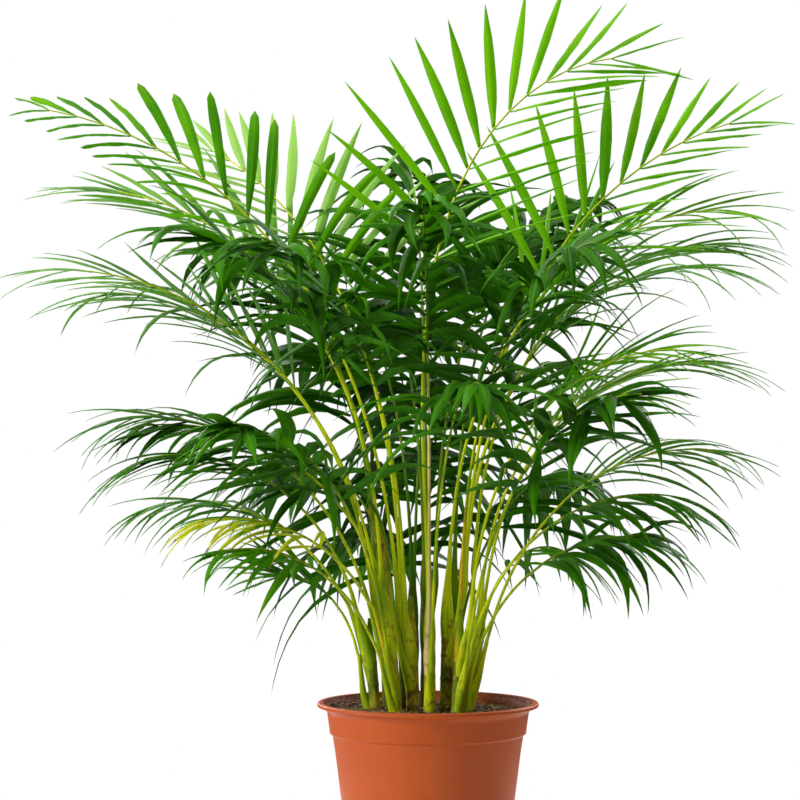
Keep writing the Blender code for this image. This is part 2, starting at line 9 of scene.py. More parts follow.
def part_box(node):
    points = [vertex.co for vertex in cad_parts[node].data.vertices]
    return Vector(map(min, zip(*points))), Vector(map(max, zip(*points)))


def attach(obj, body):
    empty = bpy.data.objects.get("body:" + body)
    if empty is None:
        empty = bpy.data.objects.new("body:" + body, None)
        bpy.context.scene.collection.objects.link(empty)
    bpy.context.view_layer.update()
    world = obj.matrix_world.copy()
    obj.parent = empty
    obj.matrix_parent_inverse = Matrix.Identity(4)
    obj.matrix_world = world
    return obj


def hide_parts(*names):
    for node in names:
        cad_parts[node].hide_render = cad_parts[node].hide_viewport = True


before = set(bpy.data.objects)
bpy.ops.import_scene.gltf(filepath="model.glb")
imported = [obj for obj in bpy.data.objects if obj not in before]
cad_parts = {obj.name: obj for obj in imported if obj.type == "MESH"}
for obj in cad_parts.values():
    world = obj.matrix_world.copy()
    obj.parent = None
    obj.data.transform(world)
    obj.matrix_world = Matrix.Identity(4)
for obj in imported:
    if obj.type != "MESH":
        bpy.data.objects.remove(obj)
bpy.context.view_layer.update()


# The pot
# A round nursery pot, moulded in one piece from terracotta-coloured plastic: a tapered body, a
# stepped collar, a rim that rolls outwards, and drain holes in the floor.

POT_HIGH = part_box("pot")[1]
RIM_RADIUS = POT_HIGH.x
POT_HEIGHT = POT_HIGH.z
LIP_DROP = 0.0036  # how far the rolled rim hangs down
MOUTH = 0.0895  # radius of the rim's inner edge
COVE_FOOT = 0.159  # height where the wall starts to open out to the rim
COVE_RADIUS = 0.0075
COLLAR_TOP = 0.0862  # outer radii of the wall
COLLAR_FOOT = 0.0843
SHOULDER = 0.0818
BASE = 0.0635
COLLAR_STEP = 0.145  # height of the step under the collar
WALL = 0.0020
FLOOR = 0.0030
POT_TURNS = 160  # faces round the pot
DRAIN_HOLES = 6
DRAIN_RADIUS = 0.0045
DRAIN_CIRCLE = 0.048  # radius of the circle that the holes stand on
DRILL_LENGTH = 0.02
TERRACOTTA = (0.490, 0.083, 0.010, 1.0)
TERRACOTTA_DEEP = (0.360, 0.056, 0.007, 1.0)
POT_DUST = (0.50, 0.13, 0.045, 1.0)
# Dark brown inside the rim: a dirt stain, together with painted shade.
POT_DIRT_AND_SHADE = (0.130, 0.030, 0.007, 1.0)


def add_node(tree, kind, inputs=None, **settings):
    """A node with these settings. inputs maps a socket's name or number to a value or a socket."""
    made = tree.nodes.new(kind)
    for name, value in settings.items():
        setattr(made, name, value)
    for key, value in (inputs or {}).items():
        if isinstance(value, bpy.types.NodeSocket):
            tree.links.new(value, made.inputs[key])
        else:
            made.inputs[key].default_value = value
    return made


def start_material(name):
    """A new material, its node tree and its Principled shader."""
    made = bpy.data.materials.new(name)
    made.use_nodes = True
    return made, made.node_tree, made.node_tree.nodes["Principled BSDF"]


def object_place(tree):
    """Socket of the place on the piece, in metres."""
    return add_node(tree, "ShaderNodeTexCoord").outputs["Object"]


def stretched(tree, place, scale):
    """The place, stretched along each axis."""
    return add_node(tree, "ShaderNodeMapping", {"Vector": place, "Scale": scale}).outputs["Vector"]


def cloudy(tree, place, scale, detail=3.0, rough=0.5, warp=0.0):
    """Socket of a soft noise from 0 to 1."""
    inputs = {"Vector": place, "Scale": scale, "Detail": detail, "Roughness": rough}
    return add_node(tree, "ShaderNodeTexNoise", inputs | {"Distortion": warp}).outputs["Fac"]


def ranged(tree, value, low, high, start=0.0, end=1.0, smooth=True):
    """The value taken from low..high to start..end and held there."""
    kind = "SMOOTHSTEP" if smooth else "LINEAR"
    inputs = {"Value": value, "From Min": low, "From Max": high, "To Min": start, "To Max": end}
    return add_node(tree, "ShaderNodeMapRange", inputs, interpolation_type=kind).outputs["Result"]


def maths(tree, operation, first, second=0.0):
    """A math node's result."""
    return add_node(tree, "ShaderNodeMath", {0: first, 1: second}, operation=operation).outputs[0]


def times(tree, *factors):
    """The product of several numbers."""
    product = factors[0]
    for factor in factors[1:]:
        product = maths(tree, "MULTIPLY", product, factor)
    return product


def plus(tree, first, second):
    """The sum of two numbers."""
    return maths(tree, "ADD", first, second)


def vectors(tree, operation, first, second=None, scale=None):
    """A vector math node's result; LENGTH and DOT_PRODUCT give a number."""
    inputs = {0: first, 1: second, "Scale": scale}
    inputs = {key: value for key, value in inputs.items() if value is not None}
    made = add_node(tree, "ShaderNodeVectorMath", inputs, operation=operation)
    return made.outputs["Value" if operation in ("LENGTH", "DOT_PRODUCT") else "Vector"]


def blended(tree, share, first, second):
    """A colour between two."""
    inputs = {0: share, 6: first, 7: second}
    return add_node(tree, "ShaderNodeMix", inputs, data_type="RGBA").outputs[2]


def dressed(tree, shader, colour, rough, shine, height, relief):
    """Sets the shader's colour, roughness, specular level, and normal from a height in metres."""
    tree.links.new(colour, shader.inputs["Base Color"])
    tree.links.new(rough, shader.inputs["Roughness"])
    shader.inputs["Specular IOR Level"].default_value = shine
    bump = add_node(tree, "ShaderNodeBump", {"Height": height, "Distance": relief, "Strength": 1.0})
    tree.links.new(bump.outputs["Normal"], shader.inputs["Normal"])


def link_object(name, mesh, *materials):
    """An object made from a mesh, with these materials."""
    for material in materials:
        mesh.materials.append(material)
    made = bpy.data.objects.new(name, mesh)
    bpy.context.scene.collection.objects.link(made)
    return made


def keep_piece(piece, node):
    """The finished piece rides on the part's one body and stands for its CAD node."""
    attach(piece, "root")
    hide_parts(node)


def settled(name, piece, *materials):
    """The evaluated piece as a plain object of this name; the source is removed."""
    graph = bpy.context.evaluated_depsgraph_get()
    mesh = bpy.data.meshes.new_from_object(
        piece.evaluated_get(graph), preserve_all_data_layers=True, depsgraph=graph
    )
    mesh.name = name
    bpy.data.objects.remove(piece)
    if materials:
        mesh.materials.clear()
    return link_object(name, mesh, *materials)


def arc(centre, radius, start, end, steps):
    """Points on an arc in the (radius, height) plane, from start to end degrees."""
    turns = [math.radians(start + (end - start) * i / steps) for i in range(steps + 1)]
    return [(centre[0] + radius * math.cos(t), centre[1] + radius * math.sin(t)) for t in turns]


def turned(name, outline, segments):
    """A closed mesh turned about z from (radius, height) points; radius 0 is a pole."""
    shape = bmesh.new()
    rings = []
    for radius, height in outline:
        count = 1 if radius == 0 else segments
        turns = [2 * math.pi * i / segments for i in range(count)]
        rings.append(
            [shape.verts.new((radius * math.cos(t), radius * math.sin(t), height)) for t in turns]
        )
    for below, above in zip(rings, rings[1:] + rings[:1]):
        if len(below) == len(above) == 1:
            continue
        for i in range(segments):
            j = (i + 1) % segments
            corners = [below[i % len(below)], below[j % len(below)]]
            corners += [above[j % len(above)], above[i % len(above)]]
            shape.faces.new(list(dict.fromkeys(corners)))
    bmesh.ops.recalc_face_normals(shape, faces=shape.faces)
    mesh = bpy.data.meshes.new(name)
    shape.to_mesh(mesh)
    shape.free()
    mesh.shade_smooth()
    return mesh


def wall_at(height):
    """Outer radius of the pot's wall at this height."""
    if height >= COLLAR_STEP:
        share = (height - COLLAR_STEP) / (COVE_FOOT - COLLAR_STEP)
        return COLLAR_FOOT + share * (COLLAR_TOP - COLLAR_FOOT)
    return BASE + (SHOULDER - BASE) * height / COLLAR_STEP


def inside_at(height):
    """Inner radius of the wall at this height, where it opens out too."""
    if height < COVE_FOOT:
        return wall_at(height) - WALL
    rise = height - COVE_FOOT
    return COLLAR_TOP + COVE_RADIUS - math.sqrt((COVE_RADIUS + WALL) ** 2 - rise**2)


def pot_outline():
    """The wall in section, up the outside, over the rolled rim and down the inside."""
    foot, step, lip = 0.0016, 0.0011, 0.0018  # radii of the foot, the collar's step and the rim
    under = POT_HEIGHT - LIP_DROP
    points = [(0, 0), (0.02, 0), (0.04, 0), (BASE - 0.006, 0)]
    points += arc((BASE - foot, foot), foot, -90, 0, 5)
    points += [(wall_at(z), z) for z in (0.02, 0.045, 0.07, 0.095, 0.115, 0.128)]
    points += arc((SHOULDER + step, COLLAR_STEP - 3.2 * step), step, 180, 110, 4)
    points += arc((COLLAR_FOOT - step, COLLAR_STEP - step * 0.6), step, -60, 0, 5)
    points += [(wall_at(z), z) for z in (0.150, 0.155)]
    cove = (COLLAR_TOP + COVE_RADIUS, COVE_FOOT)
    points += arc(cove, COVE_RADIUS, 180, 118, 6)
    points += arc((RIM_RADIUS - 0.0010, under + 0.0010), 0.0010, -100, 0, 4)
    points += arc((RIM_RADIUS - lip, POT_HEIGHT - lip), lip, 0, 90, 6)
    points += arc((MOUTH + 0.0008, POT_HEIGHT - 0.0008), 0.0008, 90, 150, 3)
    points += arc(cove, COVE_RADIUS + WALL, 124, 180, 6)
    points += [(wall_at(z) - WALL, z) for z in (0.155, 0.151)]
    points += arc((COLLAR_FOOT - WALL - step, COLLAR_STEP + WALL + 0.0008), step, 0, -60, 3)
    points += [(wall_at(z) - WALL, z) for z in (0.130, 0.1, 0.07, 0.04, 0.012)]
    points += arc((wall_at(FLOOR) - WALL - 0.002, FLOOR + 0.002), 0.002, 0, -90, 4)
    points += [(0.04, FLOOR), (0.02, FLOOR), (0, FLOOR)]
    return points


def pot_plastic():
    """Satin moulded plastic with faint mottling, handling scuffs, and darkening inside the rim: a
    dirt stain with painted shade.
    """
    made, tree, shader = start_material("terracotta_plastic")
    place = object_place(tree)
    mottled = cloudy(tree, place, 22.0, 4.0)
    fine = cloudy(tree, place, 900.0, 2.0)
    colour = blended(tree, ranged(tree, mottled, 0.30, 0.75), TERRACOTTA, TERRACOTTA_DEEP)
    colour = blended(tree, 0.35, TERRACOTTA, colour)
    scuffs = cloudy(tree, stretched(tree, place, (1, 1, 2.6)), 34.0, 6.0, 0.65, 0.6)
    scuffed = ranged(tree, scuffs, 0.62, 0.78, 0.0, 0.45)
    colour = blended(tree, scuffed, colour, POT_DUST)
    height = add_node(tree, "ShaderNodeSeparateXYZ", {"Vector": place}).outputs["Z"]
    flat = vectors(tree, "MULTIPLY", place, (1, 1, 0))
    facing = add_node(tree, "ShaderNodeNewGeometry").outputs["Normal"]
    outwards = vectors(tree, "DOT_PRODUCT", facing, vectors(tree, "NORMALIZE", flat))
    inside = ranged(tree, outwards, -0.10, -0.45)
    above = ranged(tree, height, COLLAR_STEP + WALL, COLLAR_STEP + 2 * WALL)
    spots = ranged(tree, cloudy(tree, place, 260.0, 5.0, 0.7), 0.30, 0.60, 0.35, 0.95)
    # The inner wall of the rim above the collar step is darkened: partly a dirt stain, partly
    # painted shade.
    dirt_and_shade = times(tree, inside, above, spots)
    colour = blended(tree, dirt_and_shade, colour, POT_DIRT_AND_SHADE)
    rough = ranged(tree, mottled, 0.2, 0.8, 0.40, 0.54, False)
    worn = maths(tree, "MAXIMUM", scuffed, dirt_and_shade)
    rough = plus(tree, rough, times(tree, worn, 0.35))
    ripple = cloudy(tree, stretched(tree, place, (1, 1, 0.25)), 70.0, 2.0)
    height = plus(tree, times(tree, fine, 0.25), ripple)
    dressed(tree, shader, colour, rough, 0.26, height, 0.00022)
    return made


def make_pot():
    """The moulded pot, with its drain holes drilled."""
    pot = link_object("pot_shell", turned("pot_shell", pot_outline(), POT_TURNS), pot_plastic())
    drill = bmesh.new()
    size = {"radius1": DRAIN_RADIUS, "radius2": DRAIN_RADIUS, "depth": DRILL_LENGTH}
    for i in range(DRAIN_HOLES):
        turn = 2 * math.pi * (i + 0.5) / DRAIN_HOLES
        hole = bmesh.ops.create_cone(drill, cap_ends=True, segments=24, **size)
        centre = Vector((DRAIN_CIRCLE * math.cos(turn), DRAIN_CIRCLE * math.sin(turn), 0))
        bmesh.ops.translate(drill, verts=hole["verts"], vec=centre)
    mesh = bpy.data.meshes.new("drill")
    drill.to_mesh(mesh)
    drill.free()
    cutter = link_object("drill", mesh)
    boolean = pot.modifiers.new("drain_holes", "BOOLEAN")
    boolean.operation = "DIFFERENCE"
    boolean.solver = "EXACT"
    boolean.object = cutter
    pot = settled("nursery_pot", pot)
    bpy.data.objects.remove(cutter)
    pot.data.set_sharp_from_angle(angle=math.radians(50))
    keep_piece(pot, "pot")


make_pot()


# The soil
# Peaty potting mix that fills the pot to just under the rim: a rough dark surface with crumbs,
# chips of bark and short plant fibres lying on it.

SOIL_LOW, SOIL_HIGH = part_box("soil")
SOIL_TOP = SOIL_HIGH.z
SOIL_EDGE_DROP = 0.001  # how much lower the soil is at the wall
SOIL_SLOPE = 0.030  # it lies a little higher on the left
SOIL_ROUGHNESS = 0.0018  # height of its lumps
SOIL_LUMPS = ((38, 1.0, 1.7), (110, 0.6, 5.1), (320, 0.35, 9.4))  # waves, weights and offsets
SOIL_GAP = 0.0003  # from its edge to the wall
SOIL_RINGS = 46
SOIL_TURNS = 150
SOIL_SEED = 4
PEAT = (0.020, 0.010, 0.005, 1.0)
PEAT_DRY = (0.090, 0.048, 0.022, 1.0)
BARK = (0.26, 0.135, 0.055, 1.0)
FIBRE = (0.60, 0.42, 0.20, 1.0)


def soil_mesh():
    """The closed body of soil: smooth where the pot hides it, lumpy on top."""
    shape = bmesh.new()
    rows = []
    for k in range(SOIL_RINGS + 1):
        row = []
        for i in range(1 if k == 0 else SOIL_TURNS):
            turn = 2 * math.pi * i / SOIL_TURNS
            rim = SOIL_TOP - SOIL_EDGE_DROP - SOIL_SLOPE * SHOULDER * math.cos(turn)
            radius = (inside_at(rim) - SOIL_GAP) * (k / SOIL_RINGS) ** 0.9
            x, y = radius * math.cos(turn), radius * math.sin(turn)
            lumps = sum(
                weight * noise.noise(Vector((x * wave, y * wave, offset)))
                for wave, weight, offset in SOIL_LUMPS
            )
            edge = SOIL_EDGE_DROP * (k / SOIL_RINGS) ** 2
            height = SOIL_TOP - edge - SOIL_SLOPE * x + SOIL_ROUGHNESS * lumps
            row.append(shape.verts.new((x, y, min(height, POT_HEIGHT - 0.002))))
        rows.append(row)
    for radius, height in (  # down the inside of the wall, just clear of it
        (wall_at(COLLAR_STEP) - WALL - 0.0005, COLLAR_STEP + WALL + 0.001),
        (SHOULDER - WALL - 0.0006, COLLAR_STEP - 0.002),
        (wall_at(0.07) - WALL - 0.0006, 0.07),
        (wall_at(FLOOR) - WALL - 0.0024, SOIL_LOW.z),
    ):
        turns = [2 * math.pi * i / SOIL_TURNS for i in range(SOIL_TURNS)]
        rows.append(
            [shape.verts.new((radius * math.cos(t), radius * math.sin(t), height)) for t in turns]
        )
    rows.append([shape.verts.new((0, 0, SOIL_LOW.z))])
    for inner, outer in zip(rows, rows[1:]):
        for i in range(SOIL_TURNS):
            j = (i + 1) % SOIL_TURNS
            corners = [inner[i % len(inner)], outer[i % len(outer)]]
            corners += [outer[j % len(outer)], inner[j % len(inner)]]
            shape.faces.new(list(dict.fromkeys(corners)))
    bmesh.ops.recalc_face_normals(shape, faces=shape.faces)
    mesh = bpy.data.meshes.new("soil_body")
    shape.to_mesh(mesh)
    shape.free()
    mesh.shade_smooth()
    return mesh


def start_tree(name, *sockets):
    """An empty Geometry Nodes tree with these inputs: (name, socket type, default)."""
    tree = bpy.data.node_groups.new(name, "GeometryNodeTree")
    tree.interface.new_socket("Geometry", in_out="INPUT", socket_type="NodeSocketGeometry")
    tree.interface.new_socket("Geometry", in_out="OUTPUT", socket_type="NodeSocketGeometry")
    for socket_name, kind, default in sockets:
        made = tree.interface.new_socket(socket_name, in_out="INPUT", socket_type=kind)
        if default is not None:
            made.default_value = default
    return tree, add_node(tree, "NodeGroupInput"), add_node(tree, "NodeGroupOutput")


def grown(piece, tree, values):
    """The piece with this tree, its inputs set by name."""
    modifier = piece.modifiers.new(tree.name, "NODES")
    modifier.node_group = tree
    for item in tree.interface.items_tree:
        if item.item_type == "SOCKET" and item.in_out == "INPUT" and item.name in values:
            modifier[item.identifier] = values[item.name]
    return piece


def chance(tree, low, high, seed, kind="FLOAT"):
    """A random value for each element, from a fixed seed."""
    made = add_node(tree, "FunctionNodeRandomValue", {"Seed": seed}, data_type=kind)
    first, second, out = (0, 1, 0) if kind == "FLOAT_VECTOR" else (2, 3, 1)
    made.inputs[first].default_value = low
    made.inputs[second].default_value = high
    return made.outputs[out]


def named(tree, name, kind="FLOAT"):
    """Socket of a stored attribute."""
    made = add_node(tree, "GeometryNodeInputNamedAttribute", {"Name": name}, data_type=kind)
    return made.outputs[0]


def stored(tree, geometry, name, value, domain="POINT"):
    """The geometry with a number stored under this name."""
    kind = "GeometryNodeStoreNamedAttribute"
    inputs = {"Geometry": geometry, "Name": name, "Value": value}
    return add_node(tree, kind, inputs, data_type="FLOAT", domain=domain).outputs[0]


def scattered(tree, ground, thing, density, reach, sizes, shades, seed):
    """Copies of a thing lying on the ground, each with its own turn, size and shade."""
    facing = add_node(tree, "GeometryNodeInputNormal").outputs[0]
    upward = vectors(tree, "DOT_PRODUCT", facing, (0, 0, 1))
    position = add_node(tree, "GeometryNodeInputPosition").outputs[0]
    flat = vectors(tree, "MULTIPLY", position, (1, 1, 0))
    near = maths(tree, "LESS_THAN", vectors(tree, "LENGTH", flat), reach)
    open_top = maths(tree, "MULTIPLY", maths(tree, "GREATER_THAN", upward, 0.4), near)
    spread = {"Mesh": ground, "Selection": open_top, "Density": density, "Seed": seed}
    points = add_node(tree, "GeometryNodeDistributePointsOnFaces", spread)
    seeds = [maths(tree, "ADD", seed, step) for step in (1, 2, 3)]
    turn = chance(tree, (-0.5, -0.3, -math.pi), (0.5, 0.3, math.pi), seeds[0], "FLOAT_VECTOR")
    rotation = add_node(tree, "FunctionNodeEulerToRotation", {0: turn})
    lying = {
        "Points": points.outputs["Points"],
        "Instance": thing,
        "Rotation": rotation.outputs[0],
        "Scale": chance(tree, sizes[0], sizes[1], seeds[1], "FLOAT_VECTOR"),
    }
    placed = add_node(tree, "GeometryNodeInstanceOnPoints", lying)
    shade = chance(tree, shades[0], shades[1], seeds[2])
    return stored(tree, placed.outputs[0], "litter_shade", shade, "INSTANCE")


def finished(tree, geometry, material):
    """The geometry with this material."""
    inputs = {"Geometry": geometry, "Material": material}
    return add_node(tree, "GeometryNodeSetMaterial", inputs).outputs[0]


def soil_litter_tree():
    """Crumbs, bark chips and fibres strewn over the top of the soil."""
    tree, given, out = start_tree(
        "soil_litter",
        ("Crumbs", "NodeSocketFloat", 60000.0),
        ("Chips", "NodeSocketFloat", 14000.0),
        ("Fibres", "NodeSocketFloat", 30000.0),
        ("Seed", "NodeSocketInt", 0),
        ("Material", "NodeSocketMaterial", None),
    )
    ground = given.outputs["Geometry"]
    crumb = add_node(tree, "GeometryNodeMeshIcoSphere", {"Radius": 0.001, "Subdivisions": 1})
    chip = add_node(tree, "GeometryNodeMeshCube", {"Size": (0.001, 0.001, 0.001)})
    bend = {"Resolution": 5, "Start": (-0.5, 0, 0), "Middle": (0, 0.22, 0.1), "End": (0.5, 0, 0)}
    bend = add_node(tree, "GeometryNodeCurveQuadraticBezier", bend)
    strand = add_node(tree, "GeometryNodeCurvePrimitiveCircle", {"Resolution": 3, "Radius": 0.032})
    fibre = {"Curve": bend.outputs[0], "Profile Curve": strand.outputs[0], "Fill Caps": True}
    fibre = add_node(tree, "GeometryNodeCurveToMesh", fibre)
    fibre = {"Geometry": fibre.outputs[0], "Scale": (0.01, 0.01, 0.01)}
    fibre = add_node(tree, "GeometryNodeTransform", fibre)
    parts = add_node(tree, "GeometryNodeJoinGeometry")
    # What lies there, how many to the square metre, how far from the middle, and the ranges of its
    # size and shade.
    layers = [
        (crumb.outputs["Mesh"], "Crumbs", 0.083, ((0.5, 0.5, 0.3), (2.2, 1.9, 1.3)), (0.0, 0.5)),
        (chip.outputs["Mesh"], "Chips", 0.080, ((2.0, 1.2, 0.5), (7.5, 3.0, 1.3)), (0.35, 0.85)),
        (fibre.outputs[0], "Fibres", 0.078, ((0.4, 0.6, 0.8), (1.2, 1.6, 1.6)), (0.55, 1.0)),
    ]
    for order, (thing, density, reach, sizes, shades) in enumerate(layers):
        seed = maths(tree, "ADD", given.outputs["Seed"], 10 * order)
        strewn = scattered(tree, ground, thing, given.outputs[density], reach, sizes, shades, seed)
        tree.links.new(strewn, parts.inputs[0])
    bare = stored(tree, ground, "litter_shade", 0.0)
    tree.links.new(bare, parts.inputs[0])
    real = add_node(tree, "GeometryNodeRealizeInstances", {"Geometry": parts.outputs[0]})
    tree.links.new(finished(tree, real.outputs[0], given.outputs["Material"]), out.inputs[0])
    return tree


def attribute(tree, name):
    """Socket of a number stored on the mesh."""
    return add_node(tree, "ShaderNodeAttribute", attribute_name=name).outputs["Fac"]


def potting_soil():
    """Dark crumbly peat; each crumb, chip and fibre takes its own brown."""
    made, tree, shader = start_material("peat_mix")
    place = object_place(tree)
    shade = attribute(tree, "litter_shade")
    grain = cloudy(tree, place, 700.0, 5.0, 0.7)
    damp = cloudy(tree, place, 60.0, 3.0)
    peat = blended(tree, ranged(tree, grain, 0.35, 0.75), PEAT, PEAT_DRY)
    peat = blended(tree, ranged(tree, damp, 0.35, 0.65, 0.0, 0.5), peat, PEAT)
    colour = blended(tree, ranged(tree, shade, 0.25, 0.65), peat, BARK)
    colour = blended(tree, ranged(tree, shade, 0.65, 1.0), colour, FIBRE)
    shadowed = blended(tree, ranged(tree, grain, 0.3, 0.7, 0.5, 0.0), colour, PEAT)
    rough = ranged(tree, grain, 0.2, 0.8, 0.75, 1.0, False)
    dressed(tree, shader, shadowed, rough, 0.25, grain, 0.0008)
    return made


soil_finish = potting_soil()
soil = link_object("soil_source", soil_mesh())
soil = grown(soil, soil_litter_tree(), {"Seed": SOIL_SEED, "Material": soil_finish})
soil = settled("potting_soil", soil, soil_finish)
keep_piece(soil, "soil")


# The canes
# Slim young stems, one for each seedling of the clump. The lower part is scarred where old leaves
# came away; at the top the cane narrows inside the sheaths of its fronds.

CANE_STEPS = 72
CANE_SIDES = 20
SCAR_SPACING = (0.012, 0.030)
FIRST_SCAR = (0.018, 0.024)  # above the cane's foot
SCAR_SWELL = 0.00030
SCAR_WIDTH = 0.0016
SCAR_STAIN_WIDTH = 0.0022
CANE_BOW = (0.0002, 0.0009)  # how far it bends aside halfway up
CANE_NARROWS_FROM = 0.66  # share of its height
CANE_TIP = 0.30  # its radius at the top, as a share
CANE_SEED = 6
CANE_YELLOW = (0.520, 0.460, 0.012, 1.0)
CANE_GREEN = (0.130, 0.200, 0.004, 1.0)
CANE_OLIVE = (0.045, 0.060, 0.004, 1.0)
CANE_BROWN = (0.110, 0.038, 0.010, 1.0)
# How green and how spotted each cane is, in the order of their numbers.
CANE_LOOKS = [
    (0.50, 0.3), (0.75, 0.7), (0.05, 0.3), (0.10, 0.9), (0.85, 0.7), (0.20, 0.6), (0.35, 1.0),
    (0.55, 0.3), (0.90, 0.6), (0.85, 0.6), (0.80, 0.7), (0.90, 0.6), (0.80, 0.6),
]


def welded(node):
    """A merged bmesh copy of a CAD node."""
    shape = bmesh.new()
    shape.from_mesh(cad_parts[node].data)
    bmesh.ops.remove_doubles(shape, verts=shape.verts, dist=0.00001)
    shape.verts.index_update()
    return shape


def in_order(vertices):
    """The vertices in a fixed order, so that every run sums them alike."""
    return sorted(vertices, key=lambda v: v.index)


def cane_line(node):
    """Foot, head and the two radii of a cane, from its lowest and highest rings."""
    low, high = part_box(node)
    shape = welded(node)
    ends = []
    for level in (low.z, high.z):
        ring = [v.co for v in shape.verts if abs(v.co.z - level) < 0.0002]
        centre = sum(ring, Vector()) / len(ring)
        ends.append((centre, sum((p - centre).length for p in ring) / len(ring)))
    shape.free()
    return ends


def swept_stem(tree, given):
    """The nodes of a swept stem: smooth line, its radius, a round section and stored lengths."""
    line = add_node(tree, "GeometryNodeMeshToCurve", {"Mesh": given.outputs["Geometry"]})
    soft = add_node(
        tree, "GeometryNodeCurveSplineType", {"Curve": line.outputs[0]}, spline_type="CATMULL_ROM"
    )
    steps = {"Curve": soft.outputs[0], "Count": given.outputs["Steps"]}
    even = add_node(tree, "GeometryNodeResampleCurve", steps)
    spot = add_node(tree, "GeometryNodeSplineParameter")
    marked = stored(tree, even.outputs[0], "stem_share", spot.outputs["Factor"])
    thick = {"Curve": marked, "Radius": named(tree, "stem_radius")}
    thick = add_node(tree, "GeometryNodeSetCurveRadius", thick)
    section = {"Resolution": given.outputs["Sides"], "Radius": 1.0}
    section = add_node(tree, "GeometryNodeCurvePrimitiveCircle", section)
    swept = {
        "Curve": thick.outputs[0],
        "Profile Curve": section.outputs[0],
        "Scale": named(tree, "stem_radius"),
        "Fill Caps": True,
    }
    swept = add_node(tree, "GeometryNodeCurveToMesh", swept)
    return add_node(tree, "GeometryNodeSetShadeSmooth", {"Geometry": swept.outputs[0]}).outputs[0]


def stem_tree():
    """Sweeps a round stem along a line whose points carry stem_radius, with closed ends."""
    tree, given, out = start_tree(
        "round_stem",
        ("Sides", "NodeSocketInt", CANE_SIDES),
        ("Steps", "NodeSocketInt", CANE_STEPS),
        ("Material", "NodeSocketMaterial", None),
    )
    stem = add_node(tree, "GeometryNodeRealizeInstances", {"Geometry": swept_stem(tree, given)})
    tree.links.new(finished(tree, stem.outputs[0], given.outputs["Material"]), out.inputs[0])
    return tree


def line_mesh(name, points, radii, extra=()):
    """A line of edges whose points carry stem_radius; extra adds loose points after it."""
    mesh = bpy.data.meshes.new(name)
    edges = [(i, i + 1) for i in range(len(points) - 1)]
    mesh.from_pydata([tuple(p) for p in points] + [tuple(p) for p in extra], edges, [])
    radius = mesh.attributes.new("stem_radius", "FLOAT", "POINT")
    radius.data.foreach_set("value", list(radii) + [0.0] * len(extra))
    return mesh


def keep_numbers(mesh, table):
    """Stores a number for every point under each name."""
    for name, values in table.items():
        layer = mesh.attributes.new(name, "FLOAT", "POINT")
        layer.data.foreach_set("value", np.asarray(values, np.float32))


def cane_skin():
    """Waxy bark: yellow to olive green, with brown torn scars and small brown flecks."""
    made, tree, shader = start_material("cane_skin")
    place = object_place(tree)
    green, spotted, scar = (attribute(tree, "cane_" + n) for n in ("green", "spots", "scar"))
    broad = cloudy(tree, stretched(tree, place, (1, 1, 0.30)), 110.0, 3.0)
    fibres = cloudy(tree, stretched(tree, place, (1, 1, 0.04)), 1500.0, 3.0)
    tone = plus(tree, green, ranged(tree, broad, 0.3, 0.7, -0.35, 0.35))
    colour = blended(tree, ranged(tree, tone, 0.1, 0.75), CANE_YELLOW, CANE_GREEN)
    colour = blended(tree, ranged(tree, tone, 0.75, 1.2), colour, CANE_OLIVE)
    colour = blended(tree, ranged(tree, fibres, 0.42, 0.72, 0.0, 0.45), colour, CANE_OLIVE)
    flecks = ranged(tree, cloudy(tree, place, 480.0, 4.0, 0.7), 0.54, 0.64)
    torn = cloudy(tree, stretched(tree, place, (1, 1, 0.6)), 120.0, 5.0, 0.65, 0.8)
    patches = ranged(tree, plus(tree, torn, times(tree, scar, 0.16)), 0.52, 0.64)
    brown = times(tree, maths(tree, "MAXIMUM", flecks, patches), spotted)
    colour = blended(tree, times(tree, brown, 0.85), colour, CANE_BROWN)
    rough = ranged(tree, brown, 0.0, 1.0, 0.40, 0.78, False)
    height = plus(tree, fibres, times(tree, brown, 0.9))
    dressed(tree, shader, colour, rough, 0.22, height, 0.00025)
    return made


def make_cane(node, tree, finish, look, dice):
    """One cane, swollen a little at each leaf scar and narrow at the top."""
    (foot, wide), (head, slim) = cane_line(node)
    length = (head - foot).length
    scars = [dice.uniform(*FIRST_SCAR)]
    while scars[-1] < length:
        scars.append(scars[-1] + dice.uniform(*SCAR_SPACING))
    turn = dice.uniform(0, 2 * math.pi)
    bow = Vector((math.cos(turn), math.sin(turn), 0)) * dice.uniform(*CANE_BOW)
    shares = np.linspace(0, 1, CANE_STEPS + 1)
    near = [min(abs(share * length - scar) for scar in scars) for share in shares]
    swell = SCAR_SWELL * np.exp(-((np.array(near) / SCAR_WIDTH) ** 2))
    narrow = np.clip((shares - CANE_NARROWS_FROM) / (1 - CANE_NARROWS_FROM), 0, 1)
    radii = (wide + (slim - wide) * shares + swell) * (1 - (1 - CANE_TIP) * narrow**1.5)
    points = [foot.lerp(head, share) + bow * math.sin(math.pi * share) for share in shares]
    source = link_object(node + "_line", line_mesh(node, points, radii))
    values = {"Sides": CANE_SIDES, "Steps": CANE_STEPS * 2, "Material": finish}
    piece = settled(node + "_stem", grown(source, tree, values), finish)
    places = np.empty(len(piece.data.vertices) * 3, np.float32)
    piece.data.vertices.foreach_get("co", places)
    along = places[2::3] - foot.z
    apart = np.min([np.abs(along - scar) for scar in scars], axis=0)
    green, spots = look
    numbers = {
        "cane_green": green + 0.15 * along / length,
        "cane_spots": spots * (1.15 - 0.6 * along / length),
        "cane_scar": np.exp(-((apart / SCAR_STAIN_WIDTH) ** 2)),
    }
    keep_numbers(piece.data, numbers)
    keep_piece(piece, node)
    return foot, head, wide


cane_nodes = sorted(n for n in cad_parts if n.startswith("cane_"))
round_stem = stem_tree()
bark = cane_skin()
cane_dice = np.random.default_rng(CANE_SEED)
canes = [
    make_cane(node, round_stem, bark, look, cane_dice)
    for node, look in zip(cane_nodes, CANE_LOOKS, strict=True)
]


